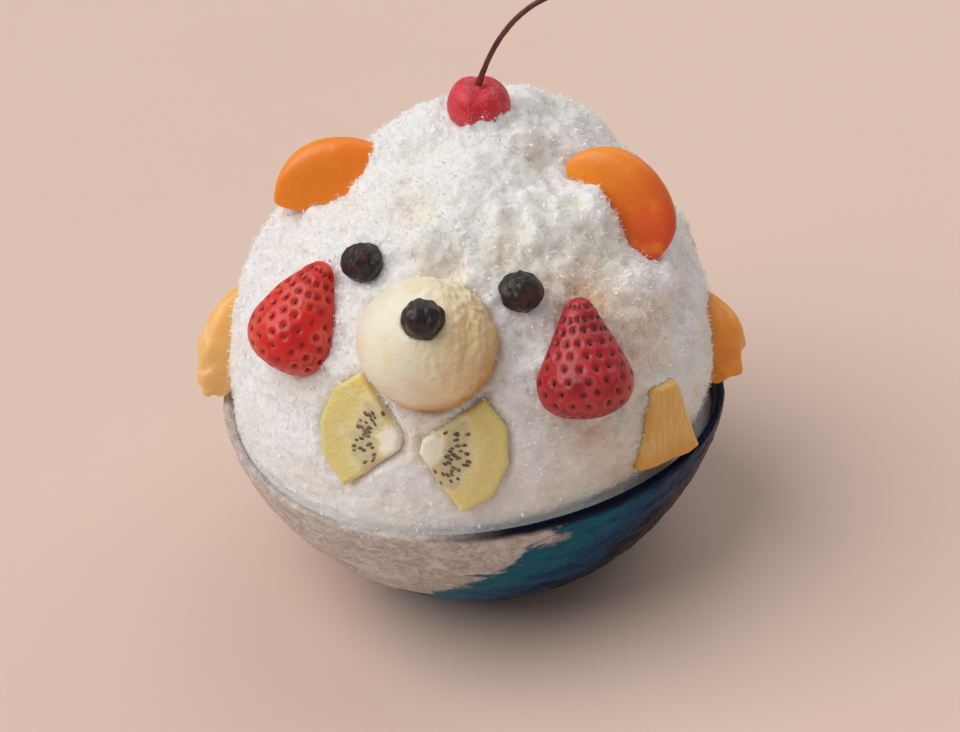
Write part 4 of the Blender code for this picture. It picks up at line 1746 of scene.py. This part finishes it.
@dataclass
class Cherry:
    """The frosted cherry, heart-shaped at the top, with a seam down its front."""

    turn: Matrix
    radius: float = 0.0096
    squash: float = 0.98
    dimple: float = 0.0026
    crystals: int = 6000
    cuts: tuple[int, int] = (96, 64)

    def build(self) -> list[bpy.types.Object]:
        """Makes the cherry and the ice crystals on it.

        Returns:
            The skin and the crystals.
        """
        work = sphere(self.cuts)
        for vert in work.verts:
            vert.co = self.surface(vert.co.normalized())
        settled(work, "cherry", self.turn)
        work.normal_update()
        crystals = self.frost(work)
        finish = PlainFinish((228, 48, 60), (204, 30, 48), 0.006, 0.42, 0.35)
        piece = finished(work, "cherry_skin", finish.make("cherry_skin"))
        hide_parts("cherry")
        return [piece, crystals]

    def surface(self, way: Vector) -> Vector:
        """Place on the skin for a direction from the cherry's middle.

        Args:
            way: the direction, as a unit vector.

        Returns:
            The place.
        """
        dimple = self.dimple * math.exp(-((math.hypot(way.x, way.y) / 0.42) ** 2)) if way.z > 0 else 0.0
        seam = 0.0006 * math.exp(-((way.x / 0.22) ** 2))
        lobe = 0.0006 * smooth_step(0.2, 1.0, way.z) * smooth_step(0.0, -0.7, way.x)
        point = way * (self.radius - seam + lobe)
        taper = 1 - 0.10 * smooth_step(0.0, 1.0, -way.z)
        return Vector((point.x * taper, point.y * taper * 0.95, point.z * self.squash - dimple))

    def frost(self, skin: bmesh.types.BMesh) -> bpy.types.Object:
        """Small ice crystals all over the cherry.

        Args:
            skin: the cherry's mesh.

        Returns:
            The crystals.
        """
        draw = np.random.default_rng(7)
        spots, normals = corners(skin), np.array([vert.normal[:] for vert in skin.verts])
        area = np.array([sum(face.calc_area() for face in vert.link_faces) for vert in skin.verts])
        chosen = draw.choice(len(spots), self.crystals, p=area / area.sum())
        spots, normals = spots[chosen], normals[chosen]
        tangents = np.cross(normals, draw.normal(0, 1, (self.crystals, 3)))
        tangents /= np.linalg.norm(tangents, axis=1, keepdims=True)
        turns = np.stack([tangents, np.cross(normals, tangents), normals], axis=2)
        share = draw.random((self.crystals, 1)) ** 2
        sizes = (0.00012 + 0.00034 * share) * np.array([[1.0, 0.8, 0.5]])
        frost = PlainFinish((240, 176, 182), (222, 108, 122), 0.003, 0.35, 0.5)
        return joined_copies("cherry_frost", bead(), spots, turns, sizes, frost.make("cherry_frost"))


@dataclass
class CherryStem:
    """The cherry's stalk, flared at its base and cut at its end."""

    finish: PlainFinish = PlainFinish((112, 48, 44), (66, 24, 26), 0.004, 0.42)

    def build(self) -> bpy.types.Object:
        """Rounds the CAD stalk and roughens it lightly.

        Returns:
            The stalk.
        """
        work = refined(cad_copy("cherry_stem"), 2)
        raised(work, lambda place, normal: 0.00010 * crumple(place, 0.0018, 3))
        piece = finished(work, "stem_stalk", self.finish.make("stem_stalk"))
        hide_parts("cherry_stem")
        return piece


@dataclass(frozen=True)
class SoftLight:
    """A far, broad light: where it comes from and how wide and strong it is."""

    name: str
    azimuth: float
    elevation: float
    spread: float
    strength: float
    colour: tuple[float, float, float]

    def hang(self) -> None:
        """Puts the light in the scene."""
        lamp = bpy.data.lights.new(self.name, "SUN")
        lamp.energy = self.strength
        lamp.angle = math.radians(self.spread)
        lamp.color = self.colour
        item = bpy.data.objects.new(self.name, lamp)
        item.rotation_euler = direction(self.azimuth, self.elevation).to_track_quat("Z", "Y").to_euler()
        bpy.context.scene.collection.objects.link(item)


@dataclass
class Studio:
    """A pale floor, soft daylight from the upper left and the camera."""

    floor_side: float = 6.0
    floor_colour: Colour = (222, 194, 178)
    sky_colour: Colour = (244, 243, 246)
    sky_strength: float = 0.30
    key: SoftLight = SoftLight("window_light", 194.0, 54.0, 55.0, 2.0, (1.0, 0.99, 0.975))
    glow: SoftLight = SoftLight("back_light", 55.0, 48.0, 60.0, 0.65, (1.0, 0.985, 0.97))
    camera_place: Vector = Vector((-0.00306, -0.6482, 0.5354))
    camera_dip: float = 35.92
    camera_roll: float = -2.54
    lens: float = 93.75
    sensor: float = 36.0

    def build(self) -> None:
        """Sets up the floor, the lights and the camera."""
        self.lay_floor()
        self.light()
        self.point_camera()

    def lay_floor(self) -> None:
        """Lays a wide matt floor under the foot."""
        work = bmesh.new()
        bmesh.ops.create_grid(work, x_segments=8, y_segments=8, size=self.floor_side / 2)
        bmesh.ops.translate(work, vec=Vector((0, 0, -0.0002)), verts=work.verts)
        mesh = bpy.data.meshes.new("floor")
        work.to_mesh(mesh)
        work.free()
        recipe = Recipe("floor")
        cloudy = recipe.noise(recipe.place(), 0.30, 3)
        paler = tuple(min(255, part + 6) for part in self.floor_colour)
        colour = recipe.mix(cloudy, self.floor_colour, paler)
        mesh.materials.append(recipe.done(Base_Color=colour, Roughness=0.75))
        floor = bpy.data.objects.new("floor", mesh)
        bpy.context.scene.collection.objects.link(floor)

    def light(self) -> None:
        """Lets broad soft light in from the upper left and from behind, under a dim pale sky."""
        world = bpy.data.worlds.new("soft_sky")
        world.use_nodes = True
        sky = world.node_tree.nodes["Background"]
        sky.inputs["Color"].default_value = tint(self.sky_colour)
        sky.inputs["Strength"].default_value = self.sky_strength
        bpy.context.scene.world = world
        self.key.hang()
        self.glow.hang()

    def point_camera(self) -> None:
        """Stands the camera where the photograph was taken from."""
        dip, roll = math.radians(self.camera_dip), math.radians(self.camera_roll)
        ahead = Vector((0, math.cos(dip), -math.sin(dip)))
        right = Vector((1, 0, 0))
        up = right.cross(ahead)
        tilted_right = right * math.cos(roll) + up * math.sin(roll)
        tilted_up = up * math.cos(roll) - right * math.sin(roll)
        data = bpy.data.cameras.new("camera")
        data.lens = self.lens
        data.sensor_width = self.sensor
        data.sensor_fit = "HORIZONTAL"
        data.clip_start = 0.01
        camera = bpy.data.objects.new("camera", data)
        turned = Matrix((tilted_right, tilted_up, -ahead)).transposed().to_4x4()
        camera.matrix_world = Matrix.Translation(self.camera_place) @ turned
        bpy.context.scene.collection.objects.link(camera)
        bpy.context.scene.camera = camera
        bpy.context.scene.view_settings.view_transform = "Standard"


def write_sizes() -> None:
    """Brings the scene's placements up to date."""
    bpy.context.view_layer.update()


def report(pieces: object) -> None:
    """Logs each piece's name and how many triangles it has.

    Args:
        pieces: one piece, or a list of them.
    """
    for piece in pieces if isinstance(pieces, list) else [pieces]:
        piece.data.calc_loop_triangles()
        log.info("%s: %d triangles", piece.name, len(piece.data.loop_triangles))


def main() -> None:
    """Builds the bowl, the ice, everything on it and the studio."""
    logging.basicConfig(level=logging.INFO, format="%(message)s")
    bowl = GlassBowl()
    report(bowl.build())
    fruit = [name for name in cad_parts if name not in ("bowl", "shaved_ice", "cherry_stem")]
    heap = IceHeap(bowl, fruit)
    report(heap.build())
    report(IceFlakes(heap).build())
    report(Scoop().build())
    raisin = RaisinFinish().make()
    report(Raisin("raisin_eye_left", facing(228, 49, 10), 1.0).build(raisin))
    report(Raisin("raisin_eye_right", facing(284, 41, -8), 2.3).build(raisin))
    report(Raisin("raisin_nose", facing(256, 36, 0), 3.7, width=0.0122).build(raisin))
    # The third colour of each finish is the painted highlight on the pit rims.
    bright = StrawberryFinish((222, 38, 26), (192, 20, 22), (242, 120, 92))
    crimson = StrawberryFinish((184, 34, 42), (140, 18, 28), (214, 84, 80))
    report(Strawberry(
        "strawberry_left", facing(224, 33, -4), 0.0355, 0.0285, bright,
        (150, 24, 20), 0.1, plump=1.40).build())
    report(Strawberry(
        "strawberry_right", facing(299, 26, -12), 0.036, 0.0300, crimson,
        (86, 12, 18), 0.4, plump=1.05).build())
    report(Crescent(
        "mandarin_ear_left", facing(270, 36, -2), 0.0415, 0.0190, -0.0040, 2.4, 1.0,
        FleshFinish((255, 146, 30), (255, 128, 30), (255, 150, 40)), "mandarin", 1.0).build())
    report(Crescent(
        "mandarin_ear_right", facing(270, 36, -50), 0.0395, 0.0165, -0.0035, 3.4, 1.4,
        FleshFinish((250, 152, 36), (222, 82, 34), (246, 140, 36)), "mandarin", 5.0).build())
    report(Crescent(
        "peach_slice_left", facing(270, 36, 64), 0.040, 0.0105, -0.0075, 1.8, 1.0,
        FleshFinish((244, 196, 128), (246, 182, 88), (250, 212, 150)), "peach", 2.0, torn_end=-1).build())
    report(Crescent(
        "peach_slice_right", facing(270, 36, -71), 0.032, 0.0115, -0.0070, 2.4, 1.0,
        FleshFinish((246, 160, 66), (244, 158, 60), (248, 184, 96)), "peach", 6.0,
        torn_end=1, lobes=0.0006).build())
    report(KiwiSlice("kiwi_left", facing(243, 20, -2), -1, 3).build())
    report(KiwiSlice("kiwi_right", facing(268, 17, -13), 1, 4).build())
    report(PineappleWedge().build())
    report(Cherry(facing(270, 80, 0)).build())
    report(CherryStem().build())
    Studio().build()
    write_sizes()


if __name__ == "__main__":
    main()
